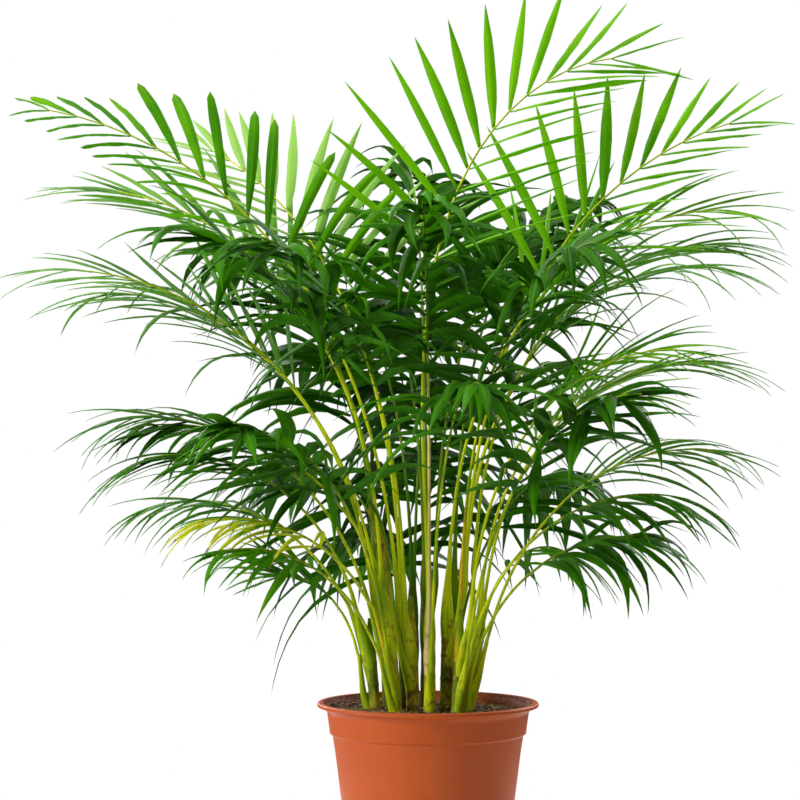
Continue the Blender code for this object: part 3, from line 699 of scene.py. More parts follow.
# The dry sheath
# The dead base of an old leaf that still stands on one cane: a thin papery blade, curled in at
# its edges, turned straw-yellow and brown.

SHEATH_ROWS = 22
SHEATH_COLUMNS = 8
SHEATH_SHEET = 0.0005
SHEATH_SUNK = 0.005  # how far its foot goes down into the cane
SHEATH_SPREAD = 0.28  # its half width, as a share of the CAD solid's breadth
SHEATH_LEAST = 0.06  # its narrowest, as a share of its widest
SHEATH_CURL = 70.0  # degrees that its edges curl in
SHEATH_HOLLOW = 0.0030  # how deep the gutter is
SHEATH_BACK = 0.0016  # how far back its edges would stand if it were flat
SHEATH_FLUTTER = 0.0005  # height of the waves along its edges
SHEATH_STRAW = (0.420, 0.330, 0.008, 1.0)
SHEATH_GREEN = (0.110, 0.180, 0.006, 1.0)
SHEATH_BROWN = (0.150, 0.075, 0.006, 1.0)


def sheath_breadth(share):
    """The blade's breadth at this share of its length: narrow foot, full middle, rounded tip."""
    swelling = math.sin(math.pi * min(1.0, share * 0.72 + 0.02))
    return (0.12 + 0.95 * swelling) * (1 - share**8)


def sheath_mesh():
    """The blade between the lowest and highest points of its CAD solid, curled like a gutter."""
    shape = welded("dry_sheath")
    levels = sorted(v.co.z for v in shape.verts)
    ends = []
    for level in (levels[0], levels[-1]):
        ring = [v.co for v in shape.verts if abs(v.co.z - level) < 0.0005]
        ends.append(sum(ring, Vector()) / len(ring))
    shape.free()
    foot, head = ends
    foot = foot + (foot - head).normalized() * SHEATH_SUNK
    low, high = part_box("dry_sheath")
    reach = (high.x - low.x) * SHEATH_SPREAD
    blade, rows = bmesh.new(), []
    for i in range(SHEATH_ROWS + 1):
        share = i / SHEATH_ROWS
        centre = foot.lerp(head, share)
        full = sheath_breadth(share)
        row = []
        for k in range(SHEATH_COLUMNS + 1):
            across = 2 * k / SHEATH_COLUMNS - 1
            curl = math.radians(SHEATH_CURL) * across
            flutter = SHEATH_FLUTTER * math.sin(9 * share + 2 * across)
            x = reach * max(full, SHEATH_LEAST) * math.sin(curl)
            y = SHEATH_BACK - SHEATH_HOLLOW * math.cos(curl) * full + flutter
            row.append(blade.verts.new(centre + Vector((x, y, 0))))
        rows.append(row)
    for lower, upper in zip(rows, rows[1:]):
        for k in range(SHEATH_COLUMNS):
            blade.faces.new((lower[k], lower[k + 1], upper[k + 1], upper[k]))
    mesh = bpy.data.meshes.new("sheath_blade")
    blade.to_mesh(mesh)
    blade.free()
    mesh.shade_smooth()
    return mesh


def sheath_paper():
    """Papery dead leaf: straw and brown in long streaks."""
    made, tree, shader = start_material("sheath_paper")
    place = object_place(tree)
    streaks = cloudy(tree, stretched(tree, place, (1, 1, 0.10)), 700.0, 4.0)
    patches = cloudy(tree, stretched(tree, place, (1, 1, 0.5)), 95.0, 4.0)
    colour = blended(tree, ranged(tree, patches, 0.35, 0.6), SHEATH_GREEN, SHEATH_STRAW)
    colour = blended(tree, ranged(tree, patches, 0.52, 0.68), colour, SHEATH_BROWN)
    colour = blended(tree, ranged(tree, streaks, 0.5, 0.75, 0.0, 0.45), colour, SHEATH_BROWN)
    rough = ranged(tree, streaks, 0.2, 0.8, 0.55, 0.85, False)
    dressed(tree, shader, colour, rough, 0.15, streaks, 0.0004)
    return made


sheath = link_object("sheath_source", sheath_mesh())
thicken = sheath.modifiers.new("sheet", "SOLIDIFY")
thicken.thickness = SHEATH_SHEET
thicken.offset = 0.0
sheath = settled("dry_leaf_sheath", sheath, sheath_paper())
keep_piece(sheath, "dry_sheath")


# The fronds
# Each frond is one leaf: a sheath that clasps its cane, a smooth stalk that arches out of it, and
# two ranks of narrow pointed leaflets along the outer part of the stalk, folded like a roof.

STALK_SIDES = 12
STALK_STEPS = 80
STALK_FULLNESS = 0.50  # the round stalk beside the three-cornered CAD one
# The sheath below the stalk's foot: how far down, its radius beside the cane's, and how far out
# it has come from the cane's axis.
SHEATH_STATIONS = ((0.042, 0.84, 0.05), (0.029, 0.98, 0.18), (0.014, 0.84, 0.58))
# Above the foot it narrows into the stalk: how far up, and its radius beside the cane's.
NECK_STATIONS = ((0.0, 0.58), (0.014, 0.42), (0.032, 0.32))
NECK_CLEAR = 0.002  # from the last of them to the next ring of the stalk
SHEATH_IN_SOIL = 0.25  # share of its length that a sheath goes down into the soil at most
ABOVE_CANE = 9  # how much a place above a cane's top counts against that cane
LEAF_STATIONS = (0.0, 0.05, 0.13, 0.24, 0.37, 0.50, 0.62, 0.74, 0.85, 0.94)
LEAF_ACROSS = (-1.0, -0.5, 0.0, 0.5, 1.0)
LEAF_THICKNESS = 0.00030
LEAF_FOLD = 24.0  # degrees that each half falls away from the midrib
LEAF_TWIST = 16.0  # degrees, the spread of the turn from seat to tip
LEAF_HANDLES = (0.32, 0.34, 0.36)  # shares of the length between the four points of its curve
LEAF_LENGTHS = (0.93, 1.07)  # spreads of the lengths, breadths and limpness
LEAF_BREADTHS = (0.82, 1.0)
LEAF_LIMPNESS = (0.4, 1.5)
BROKEN_LIMP = 2.5  # how much a broken leaflet hangs more
HALFWAY_LIMP = 0.35  # share of the limpness in the middle of a leaflet
OUTER_RUFFLE = 1.5  # how much more its outer half swings aside
POINT_OF_LIMP = 1.6  # how fast a point draws out to a thread as the frond gets limp
STEEPEST = 0.15  # sine from the upright, below which a leaflet has no level side
LEVELLED_FROM = 0.4  # share of a rank from which its leaflets lie more and more level
RIPPLES = 17.0  # radians of waves along an edge
RIPPLE_HEIGHT = 0.10  # beside the half width
NEIGHBOUR_SHARE = 0.47  # a leaflet is at least this share of its two neighbours together
LEAF_SEED = 11
LEAF_MINIMUM = 0.012  # the shortest edge at a leaflet's tip, longer than any edge of the stalk
# Half widths along a leaflet, for a blunt tip, a plain point and a point drawn out to a thread.
BLUNT_OUTLINE = [(0.0, 0.24), (0.12, 0.48), (0.40, 0.84), (0.70, 1.0), (0.90, 0.86), (1.0, 0.30)]
LANCE_OUTLINE = [(0.0, 0.28), (0.12, 0.60), (0.36, 1.0), (0.60, 0.94), (0.85, 0.48), (1.0, 0.02)]
THREAD_OUTLINE = [
    (0.0, 0.30), (0.10, 0.66), (0.30, 1.0), (0.52, 0.86), (0.76, 0.40), (0.90, 0.14), (1.0, 0.02),
]
BLADE_YOUNG = (0.200, 0.480, 0.003, 1.0)
BLADE_GROWN = (0.045, 0.235, 0.002, 1.0)
BLADE_DEEP = (0.007, 0.092, 0.001, 1.0)
# Grey-green: the paler underside, and on some fronds a waxy bloom together with a painted sheen.
BLADE_GREY = (0.260, 0.400, 0.200, 1.0)
BLADE_PALE = (0.620, 0.780, 0.330, 1.0)
BLADE_YELLOW = (0.820, 0.740, 0.015, 1.0)
BLADE_BROWN = (0.300, 0.120, 0.025, 1.0)
BLADE_GLOW = (0.520, 0.980, 0.004, 1.0)  # light that comes through a blade
STALK_LIME = (0.580, 0.660, 0.004, 1.0)
STALK_GREEN = (0.120, 0.270, 0.002, 1.0)
STALK_SHADE = (0.045, 0.140, 0.002, 1.0)  # painted shade on the stalks of the hanging fronds at the back of the clump
STALK_AMBER = (0.700, 0.420, 0.006, 1.0)
STALK_CREAM = (0.900, 0.640, 0.300, 1.0)
STALK_RUST = (0.190, 0.075, 0.018, 1.0)


def blank_leaflet():
    """A plain leaflet, one by one in size: a roof of two sheets that meet at its edges."""
    shape = bmesh.new()
    rows = []
    for share in LEAF_STATIONS:
        top = [shape.verts.new((across, share, 1 - abs(across))) for across in LEAF_ACROSS]
        rows.append((top, shape.verts.new((0, share, -1))))
    tip = shape.verts.new((0, 1, 0))
    for (top, under), (next_top, next_under) in zip(rows, rows[1:]):
        for k in range(len(LEAF_ACROSS) - 1):
            shape.faces.new((top[k], top[k + 1], next_top[k + 1], next_top[k]))
        shape.faces.new((under, top[0], next_top[0], next_under))
        shape.faces.new((top[-1], under, next_under, next_top[-1]))
    last, last_under = rows[-1]
    for k in range(len(LEAF_ACROSS) - 1):
        shape.faces.new((last[k], last[k + 1], tip))
    shape.faces.new((last_under, last[0], tip))
    shape.faces.new((last[-1], last_under, tip))
    first, first_under = rows[0]
    shape.faces.new([first_under] + first[::-1])
    bmesh.ops.recalc_face_normals(shape, faces=shape.faces)
    rim = {v for v in shape.verts if abs(v.co.x) == 1} | {tip}
    for line in shape.edges:
        line.smooth = not rim.issuperset(line.verts)
    mesh = bpy.data.meshes.new("blank_leaflet")
    shape.to_mesh(mesh)
    shape.free()
    places = np.empty(len(mesh.vertices) * 3, np.float32)
    mesh.vertices.foreach_get("co", places)
    for axis, name in enumerate(("leaf_across", "leaf_along", "leaf_layer")):
        keep_numbers(mesh, {name: places[axis::3]})
    return link_object("blank_leaflet", mesh)


def outline_curve(tree, along, stops):
    """A share that follows these (along, share) stops."""
    made = add_node(tree, "ShaderNodeFloatCurve", {"Value": along})
    curve = made.mapping.curves[0]
    curve.points[0].location = stops[0]
    curve.points[1].location = stops[-1]
    for stop in stops[1:-1]:
        curve.points.new(*stop)
    made.mapping.update()
    return made.outputs[0]


def leaf_outline(tree, along):
    """Half width of a leaflet as a share; its point goes from -1 (blunt) over 0 to 1 (a thread)."""
    point = named(tree, "leaf_point")
    half = outline_curve(tree, along, LANCE_OUTLINE)
    for share, stops in ((times(tree, point, -1.0), BLUNT_OUTLINE), (point, THREAD_OUTLINE)):
        mixed = {0: share, 2: half, 3: outline_curve(tree, along, stops)}
        half = add_node(tree, "ShaderNodeMix", mixed, data_type="FLOAT").outputs[0]
    return half


def weighted(tree, terms):
    """The sum of vectors, each times its number."""
    total = None
    for number, vector in terms:
        part = vectors(tree, "SCALE", vector, scale=number)
        total = part if total is None else vectors(tree, "ADD", total, part)
    return total


def bent_leaflets(tree, points, given):
    """A leaflet on each point, bent along the cubic curve through its own four stored points."""
    blank = {"Object": given.outputs["Leaflet blank"]}
    blank = add_node(tree, "GeometryNodeObjectInfo", blank).outputs["Geometry"]
    placed = add_node(tree, "GeometryNodeInstanceOnPoints", {"Points": points, "Instance": blank})
    real = add_node(tree, "GeometryNodeRealizeInstances", {"Geometry": placed.outputs[0]})
    along, across, layer = (named(tree, "leaf_" + n) for n in ("along", "across", "layer"))
    seat, first, second, tip, side = (
        named(tree, "leaf_" + n, "FLOAT_VECTOR") for n in ("seat", "first", "second", "tip", "side")
    )
    rest = maths(tree, "SUBTRACT", 1.0, along)
    spine = weighted(
        tree,
        [
            (times(tree, rest, rest, rest), seat),
            (times(tree, 3.0, rest, rest, along), first),
            (times(tree, 3.0, rest, along, along), second),
            (times(tree, along, along, along), tip),
        ],
    )
    ahead = weighted(
        tree,
        [
            (times(tree, rest, rest), vectors(tree, "SUBTRACT", first, seat)),
            (times(tree, 2.0, rest, along), vectors(tree, "SUBTRACT", second, first)),
            (times(tree, along, along), vectors(tree, "SUBTRACT", tip, second)),
        ],
    )
    ahead = vectors(tree, "NORMALIZE", ahead)
    face = vectors(tree, "NORMALIZE", vectors(tree, "CROSS_PRODUCT", side, ahead))
    flat = vectors(tree, "CROSS_PRODUCT", ahead, face)
    twist = times(tree, named(tree, "leaf_twist"), along)
    cosine, sine = maths(tree, "COSINE", twist), maths(tree, "SINE", twist)
    back = times(tree, sine, -1.0)
    flat, face = (
        weighted(tree, [(cosine, flat), (sine, face)]),
        weighted(tree, [(cosine, face), (back, flat)]),
    )
    half = times(tree, leaf_outline(tree, along), named(tree, "leaf_half"))
    fold = times(tree, given.outputs["Fold"], ranged(tree, along, 0.0, 1.0, 1.25, 0.55, False))
    hand = maths(tree, "SIGN", across)
    ripple = plus(tree, times(tree, along, RIPPLES), times(tree, hand, 2.0))
    ripple = maths(tree, "SINE", ripple)
    edge = maths(tree, "ABSOLUTE", across)
    out = times(tree, across, half, maths(tree, "COSINE", fold))
    fall = times(tree, edge, half, maths(tree, "SINE", fold))
    wave = times(tree, ripple, edge, half, RIPPLE_HEIGHT)
    rise = maths(tree, "SUBTRACT", times(tree, layer, given.outputs["Thickness"]), fall)
    rise = plus(tree, rise, wave)
    place = weighted(tree, [(1.0, spine), (out, flat), (rise, face)])
    shaped = {"Geometry": real.outputs[0], "Position": place}
    shaped = add_node(tree, "GeometryNodeSetPosition", shaped)
    return add_node(tree, "GeometryNodeSetShadeSmooth", {"Geometry": shaped.outputs[0]}).outputs[0]


def frond_tree():
    """A frond from its plan: the line of the stalk, and a loose point for each leaflet."""
    tree, given, out = start_tree(
        "palm_frond",
        ("Sides", "NodeSocketInt", STALK_SIDES),
        ("Steps", "NodeSocketInt", STALK_STEPS),
        ("Thickness", "NodeSocketFloat", LEAF_THICKNESS),
        ("Fold", "NodeSocketFloat", math.radians(LEAF_FOLD)),
        ("Leaflet blank", "NodeSocketObject", None),
        ("Stalk material", "NodeSocketMaterial", None),
        ("Blade material", "NodeSocketMaterial", None),
    )
    is_leaf = maths(tree, "GREATER_THAN", named(tree, "leaf_half"), 0.0)
    points = {"Geometry": given.outputs["Geometry"], "Selection": is_leaf}
    points = add_node(tree, "GeometryNodeSeparateGeometry", points).outputs[0]
    stalk = finished(tree, swept_stem(tree, given), given.outputs["Stalk material"])
    blades = bent_leaflets(tree, points, given)
    blades = finished(tree, blades, given.outputs["Blade material"])
    whole = add_node(tree, "GeometryNodeJoinGeometry")
    tree.links.new(stalk, whole.inputs[0])
    tree.links.new(blades, whole.inputs[0])
    tree.links.new(whole.outputs[0], out.inputs[0])
    return tree


def stalk_rings(foot_corner, leafy):
    """Centres and radii of the stalk's rings, walked from its foot to its tip."""
    ring = list(min(foot_corner.link_faces, key=lambda f: f.normal.z).verts)
    seen = set(ring)
    centres, radii = [], []
    while ring:
        centre = sum((v.co for v in ring), Vector()) / len(ring)
        centres.append(centre)
        radii.append(sum((v.co - centre).length for v in ring) / len(ring))
        beyond = {e.other_vert(v) for v in ring for e in v.link_edges} - seen - leafy
        seen |= beyond
        ring = in_order(beyond)
    return centres, radii


def leaflet_lies(shape):
    """Seat, middle, tip, side and half width of each leaflet of a CAD frond, and their corners."""
    lies, leafy = [], set()
    for tip in shape.verts:
        if len(tip.link_edges) != 3 or min(e.calc_length() for e in tip.link_edges) < LEAF_MINIMUM:
            continue
        ring = [e.other_vert(tip) for e in tip.link_edges]
        pairs = [(ring[i - 2], ring[i - 1], ring[i]) for i in range(3)]
        first, second, ridge = max(pairs, key=lambda p: (p[0].co - p[1].co).length)
        leaf = {tip, first, second, ridge}
        corners = in_order({e.other_vert(v) for v in ring for e in v.link_edges} - leaf)
        seat = sum((v.co for v in corners), Vector()) / len(corners)
        middle = (first.co + second.co) / 2
        side = second.co - first.co
        if side.cross(tip.co - seat).dot(ridge.co - middle) < 0:
            side = -side
        lies.append((seat, middle, tip.co.copy(), side.normalized(), side.length / 2))
        leafy |= leaf
    return lies, leafy


def read_frond(node):
    """What a frond's CAD solid says: the stalk's centres and radii, and each leaflet's lie."""
    shape = welded(node)
    shape.normal_update()
    lies, leafy = leaflet_lies(shape)
    stalk = [v for v in shape.verts if v not in leafy]
    foot = min(stalk, key=lambda v: v.co.z + 2 * math.hypot(v.co.x, v.co.y))
    centres, radii = stalk_rings(foot, leafy)
    shape.free()
    return centres, radii, lies


def axis_at(cane, height):
    """The point at this height on a cane's axis, or on its line beyond its ends."""
    low, high, _ = cane
    return low.lerp(high, (height - low.z) / (high.z - low.z))


def with_sheath(centres, radii):
    """The stalk's line carried down into the cane that it grew from."""
    foot = centres[0]

    def distance(cane):
        """How far the foot is from a cane, more for a cane that ends below it."""
        return (axis_at(cane, foot.z) - foot).length + ABOVE_CANE * max(0, foot.z - cane[1].z)

    cane = min(canes, key=distance)
    apart = foot - axis_at(cane, foot.z)
    route, thick = [], []
    for drop, grip, share in SHEATH_STATIONS:
        height = max(foot.z - drop, SOIL_TOP - SHEATH_IN_SOIL * drop)
        route.append(axis_at(cane, height) + apart * share)
        thick.append(max(cane[2] * grip, radii[0] * STALK_FULLNESS))
    slim = [r * STALK_FULLNESS for r in radii]
    first = centres[1] - foot
    for rise, grip in NECK_STATIONS:
        route.append(foot + first.normalized() * rise)
        share = rise / first.length
        thick.append(max(cane[2] * grip, slim[0] + (slim[1] - slim[0]) * min(1.0, share)))
    neck = NECK_STATIONS[-1][0] + NECK_CLEAR
    beyond = [i for i in range(1, len(centres)) if (centres[i] - foot).length > neck]
    return route + [centres[i] for i in beyond], thick + [slim[i] for i in beyond]


def smoothed(lengths):
    """Lengths in which none is far shorter than its two neighbours."""
    padded = [lengths[0]] + list(lengths) + [lengths[-1]]
    pairs = zip(padded, padded[2:])
    return [
        max(own, NEIGHBOUR_SHARE * (before + after)) for own, (before, after) in zip(lengths, pairs)
    ]


def turned_aside(direction, degrees, dice):
    """The direction, swung by about this angle in a random way."""
    loose = Vector(dice.normal(0, 1, 3)).cross(direction).normalized()
    return (direction + loose * math.tan(math.radians(dice.normal(0, degrees)))).normalized()


def levelled(side, ahead, share):
    """The blade's side, turned this share of the way to lying level under the sky."""
    level = ahead.cross(Vector((0, 0, 1)))
    if level.length < STEEPEST or side.dot(level) < 0:
        return side
    return side.lerp(level.normalized(), share).normalized()


def leaflet_curve(lie, onward, length, look, dice):
    """The four points that a leaflet bends along, and its side; onward is the stalk's direction."""
    seat, middle, tip, side, _ = lie
    start = (middle - seat).normalized().lerp(onward, look["sweep"]).normalized()
    end = (tip - middle).normalized().lerp(onward, look["sweep"]).normalized()
    start = turned_aside(start, look["ruffle"], dice)
    end = turned_aside(end, OUTER_RUFFLE * look["ruffle"], dice)
    limp = look["limp"] * dice.uniform(*LEAF_LIMPNESS)
    if dice.random() < look["broken"]:
        limp += BROKEN_LIMP
    down = Vector((0, 0, -1))
    between = (start + end + down * limp * HALFWAY_LIMP).normalized()
    last = (end + down * limp).normalized()
    first = seat + start * length * LEAF_HANDLES[0]
    second = first + between * length * LEAF_HANDLES[1]
    return seat, first, second, second + last * length * LEAF_HANDLES[2], side


def plan_mesh(name, centres, radii, lies, look, dice):
    """The plan as a mesh: the stalk's line, then one loose point for each leaflet."""
    start = centres[0]
    heading = (centres[-1] - start) * Vector((1, 1, 0))
    hand_side = Vector((0, 0, 1)).cross(heading)
    ranks = {1: [], -1: []}
    for lie in lies:
        ranks[1 if (lie[2] - lie[0]).dot(hand_side) > 0 else -1].append(lie)
    line, thick = with_sheath(centres, radii)
    ordered, lengths, hands, place_on_rank = [], [], [], {}
    for hand, rank in ranks.items():
        rank.sort(key=lambda lie: (lie[0] - start).length)
        full = [(m - s).length + (t - m).length for s, m, t, _, _ in rank]
        ordered += rank
        lengths += smoothed(full) if full else []
        hands += [hand] * len(rank)
        place_on_rank |= {id(lie): i / (len(rank) - 1) for i, lie in enumerate(rank)}
    mesh = line_mesh(name, line, thick, [lie[0] for lie in ordered])
    count, total = len(line), len(line) + len(ordered)
    curves = np.zeros((5, total, 3), np.float32)
    numbers = {"leaf_" + n: np.zeros(total) for n in ("half", "twist", "tint", "point")}
    for i, (lie, length, hand) in enumerate(zip(ordered, lengths, hands), count):
        order = place_on_rank[id(lie)]
        length *= look["reach"] * (1 - look["taper"] * order**2) * dice.uniform(*LEAF_LENGTHS)
        nearest = min(range(1, len(centres)), key=lambda j: (centres[j] - lie[0]).length)
        onward = (centres[nearest] - centres[nearest - 1]).normalized()
        curve = leaflet_curve(lie, onward, length, look, dice)
        level = look["level"][hand < 0]
        outer = max(0.0, order - LEVELLED_FROM) / (1 - LEVELLED_FROM)
        level += (1 - level) * look["tip_level"] * outer
        side = levelled(curve[4], (curve[2] - curve[0]).normalized(), level)
        for row, point in enumerate(curve[:4] + (side,)):
            curves[row, i] = point
        numbers["leaf_half"][i] = lie[4] * look["broad"] * dice.uniform(*LEAF_BREADTHS)
        numbers["leaf_twist"][i] = math.radians(dice.normal(0, LEAF_TWIST))
        numbers["leaf_tint"][i] = dice.uniform(0, 1)
        point_by_limp = min(1.0, look["limp"] * POINT_OF_LIMP)
        numbers["leaf_point"][i] = look.get("point", point_by_limp)
    for row, key in enumerate(("seat", "first", "second", "tip", "side")):
        layer = mesh.attributes.new("leaf_" + key, "FLOAT_VECTOR", "POINT")
        layer.data.foreach_set("vector", curves[row].ravel())
    numbers |= {"frond_" + n: np.full(total, look[n]) for n in FROND_COLOURS}
    keep_numbers(mesh, numbers)
    return mesh


def blade_skin():
    """Leaflet skin: waxy, ribbed along its length, pale under the midrib, glowing when backlit."""
    made, tree, shader = start_material("leaflet_skin")
    place = object_place(tree)
    along, across, layer, tint = (
        attribute(tree, "leaf_" + n) for n in ("along", "across", "layer", "tint")
    )
    age, grey, pale, dead = (attribute(tree, "frond_" + n) for n in ("age", "grey", "pale", "dead"))
    edge = maths(tree, "ABSOLUTE", across)
    tone = plus(tree, age, ranged(tree, cloudy(tree, place, 16.0), 0.3, 0.7, -0.16, 0.16))
    tone = plus(tree, tone, ranged(tree, tint, 0.0, 1.0, -0.15, 0.15, False))
    tone = plus(tree, tone, ranged(tree, along, 0.0, 1.0, 0.08, -0.06, False))
    # The higher a frond's age, the deeper its green; on the inner and hanging fronds this is partly
    # painted shade.
    colour = blended(tree, ranged(tree, tone, 0.0, 0.5), BLADE_YOUNG, BLADE_GROWN)
    colour = blended(tree, ranged(tree, tone, 0.5, 1.0), colour, BLADE_DEEP)
    # Grey-green on the fronds with grey: partly a waxy bloom, partly a painted sheen.
    bloom_and_sheen = ranged(tree, cloudy(tree, place, 45.0), 0.25, 0.75, 0.45, 1.0)
    colour = blended(tree, times(tree, grey, bloom_and_sheen), colour, BLADE_GREY)
    colour = blended(tree, pale, colour, BLADE_PALE)
    under = ranged(tree, layer, -0.1, -0.6)
    colour = blended(tree, times(tree, under, 0.12), colour, BLADE_GREY)
    veins = maths(tree, "SINE", times(tree, across, 38.0))
    colour = blended(tree, ranged(tree, veins, -1.0, 1.0, 0.0, 0.12, False), colour, BLADE_YOUNG)
    rib = ranged(tree, edge, 0.12, 0.03)
    colour = blended(tree, times(tree, rib, 0.5), colour, BLADE_YOUNG)
    rim = ranged(tree, edge, 0.90, 1.0)
    colour = blended(tree, times(tree, rim, 0.35), colour, BLADE_YOUNG)
    wilt = ranged(tree, tint, 0.0, 1.0, -0.45, 0.45, False)
    wilt = plus(tree, wilt, times(tree, along, 0.4))
    wilt = plus(tree, wilt, ranged(tree, cloudy(tree, place, 70.0), 0.3, 0.7, -0.2, 0.2))
    sick = ranged(tree, plus(tree, times(tree, dead, 1.4), wilt), 0.85, 1.15)
    colour = blended(tree, times(tree, sick, ranged(tree, dead, 0.0, 0.1)), colour, BLADE_YELLOW)
    dry = plus(tree, along, ranged(tree, tint, 0.0, 1.0, -0.05, 0.02, False))
    dry = plus(tree, dry, times(tree, dead, sick, 0.25))
    colour = blended(tree, times(tree, ranged(tree, dry, 0.972, 1.0), 0.8), colour, BLADE_BROWN)
    rough = ranged(tree, under, 0.0, 1.0, 0.45, 0.65, False)
    height = plus(tree, times(tree, veins, 0.06), times(tree, rib, 0.8))
    height = times(tree, height, ranged(tree, along, 0.85, 0.40))
    dressed(tree, shader, colour, rough, 0.07, height, 0.00014)
    glow = blended(tree, 0.55, colour, BLADE_GLOW)
    glow = blended(tree, ranged(tree, tone, 0.3, 1.0, 0.0, 0.80), glow, colour)
    through = add_node(tree, "ShaderNodeBsdfTranslucent", {"Color": glow})
    both = {0: 0.45, 1: shader.outputs[0], 2: through.outputs[0]}
    both = add_node(tree, "ShaderNodeMixShader", both)
    tree.links.new(both.outputs[0], tree.nodes["Material Output"].inputs["Surface"])
    return made


def stalk_skin():
    """Stalk skin: smooth and waxy, lime to green, with amber, cream or rusty feet on old fronds."""
    made, tree, shader = start_material("stalk_skin")
    place = object_place(tree)
    share = attribute(tree, "stem_share")
    age, amber, cream = (attribute(tree, "frond_" + n) for n in ("age", "amber", "cream"))
    grain = cloudy(tree, stretched(tree, place, (1, 1, 0.10)), 420.0)
    broad = cloudy(tree, stretched(tree, place, (1, 1, 0.4)), 36.0)
    green = plus(tree, times(tree, age, 0.7), ranged(tree, broad, 0.3, 0.7, -0.25, 0.25))
    colour = blended(tree, ranged(tree, green, 0.2, 0.9), STALK_LIME, STALK_GREEN)
    # The stalks of fronds with an age above 0.76, the hanging ones at the back of the clump, take a
    # painted shade.
    colour = blended(tree, ranged(tree, age, 0.76, 0.86, 0.0, 0.75), colour, STALK_SHADE)
    leafy = ranged(tree, share, 0.45, 0.72)
    colour = blended(tree, times(tree, leafy, age, 1.1), colour, STALK_GREEN)
    low = ranged(tree, plus(tree, share, times(tree, grain, 0.5)), 0.85, 0.35)
    patchy = ranged(tree, cloudy(tree, stretched(tree, place, (1, 1, 0.25)), 60.0), 0.38, 0.58)
    colour = blended(tree, times(tree, amber, low, patchy), colour, STALK_AMBER)
    colour = blended(tree, times(tree, cream, ranged(tree, share, 0.62, 0.40)), colour, STALK_CREAM)
    streaks = cloudy(tree, stretched(tree, place, (1, 1, 0.04)), 260.0)
    colour = blended(tree, ranged(tree, streaks, 0.50, 0.66, 0.0, 0.60), colour, STALK_GREEN)
    spots = ranged(tree, cloudy(tree, place, 150.0, 5.0, 0.65, 0.7), 0.52, 0.66)
    foot = ranged(tree, plus(tree, share, times(tree, grain, 0.1)), 0.20, 0.08)
    rusty = times(tree, spots, maths(tree, "MAXIMUM", foot, times(tree, amber, low)))
    colour = blended(tree, times(tree, rusty, 0.75), colour, STALK_RUST)
    rough = ranged(tree, grain, 0.2, 0.8, 0.34, 0.52, False)
    dressed(tree, shader, colour, rough, 0.14, grain, 0.00014)
    return made


# What a frond is like, with colours from 0 to 1. Its leaflets' "reach" and "broad" are beside the
# CAD ones, "taper" shortens them towards the tip, "limp" lets them hang, "ruffle" swings each one
# aside by about these degrees, "broken" is the share of them that is, "level" how level each rank
# lies and "tip_level" how much more its outer end does, "sweep" turns them along the stalk, and
# "point" goes from -1 (blunt) to 1 (a thread). Without one, it follows from "limp".
FROND_COLOURS = ("age", "grey", "pale", "dead", "amber", "cream")
PLAIN = {"age": 0.60, "grey": 0.0, "pale": 0.0, "dead": 0.0, "amber": 0.0, "cream": 0.0}
PLAIN |= {"reach": 1.12, "broad": 0.75, "limp": 0.50, "ruffle": 7.0, "broken": 0.04}
PLAIN |= {"level": (0.3, 0.3), "taper": 0.05, "tip_level": 0.6, "sweep": 0.15}
# Inner fronds, and most of all the hanging ones at the back, have a high age: their deep green is
# partly their own colour, partly painted shade inside the clump.
INNER = {"age": 0.70, "reach": 1.20, "broad": 1.20, "ruffle": 20.0, "limp": 0.95, "broken": 0.15}
INNER |= {"level": (0.1, 0.1), "tip_level": 0.2, "sweep": 0.10}
HANGING = INNER | {"age": 0.88, "reach": 1.30, "broad": 1.30, "limp": 1.30, "broken": 0.35}
UPRIGHT = {"limp": 0.06, "ruffle": 3.0, "broken": 0.0, "broad": 1.00}
UPRIGHT |= {"tip_level": 0.8, "sweep": 0.0}
SWEPT = {"limp": 0.18, "sweep": 0.38, "reach": 1.15, "broad": 0.70, "broken": 0.08}
TRAILING = {"limp": 0.60, "sweep": 0.25, "reach": 1.20, "broad": 0.78, "ruffle": 11.0}
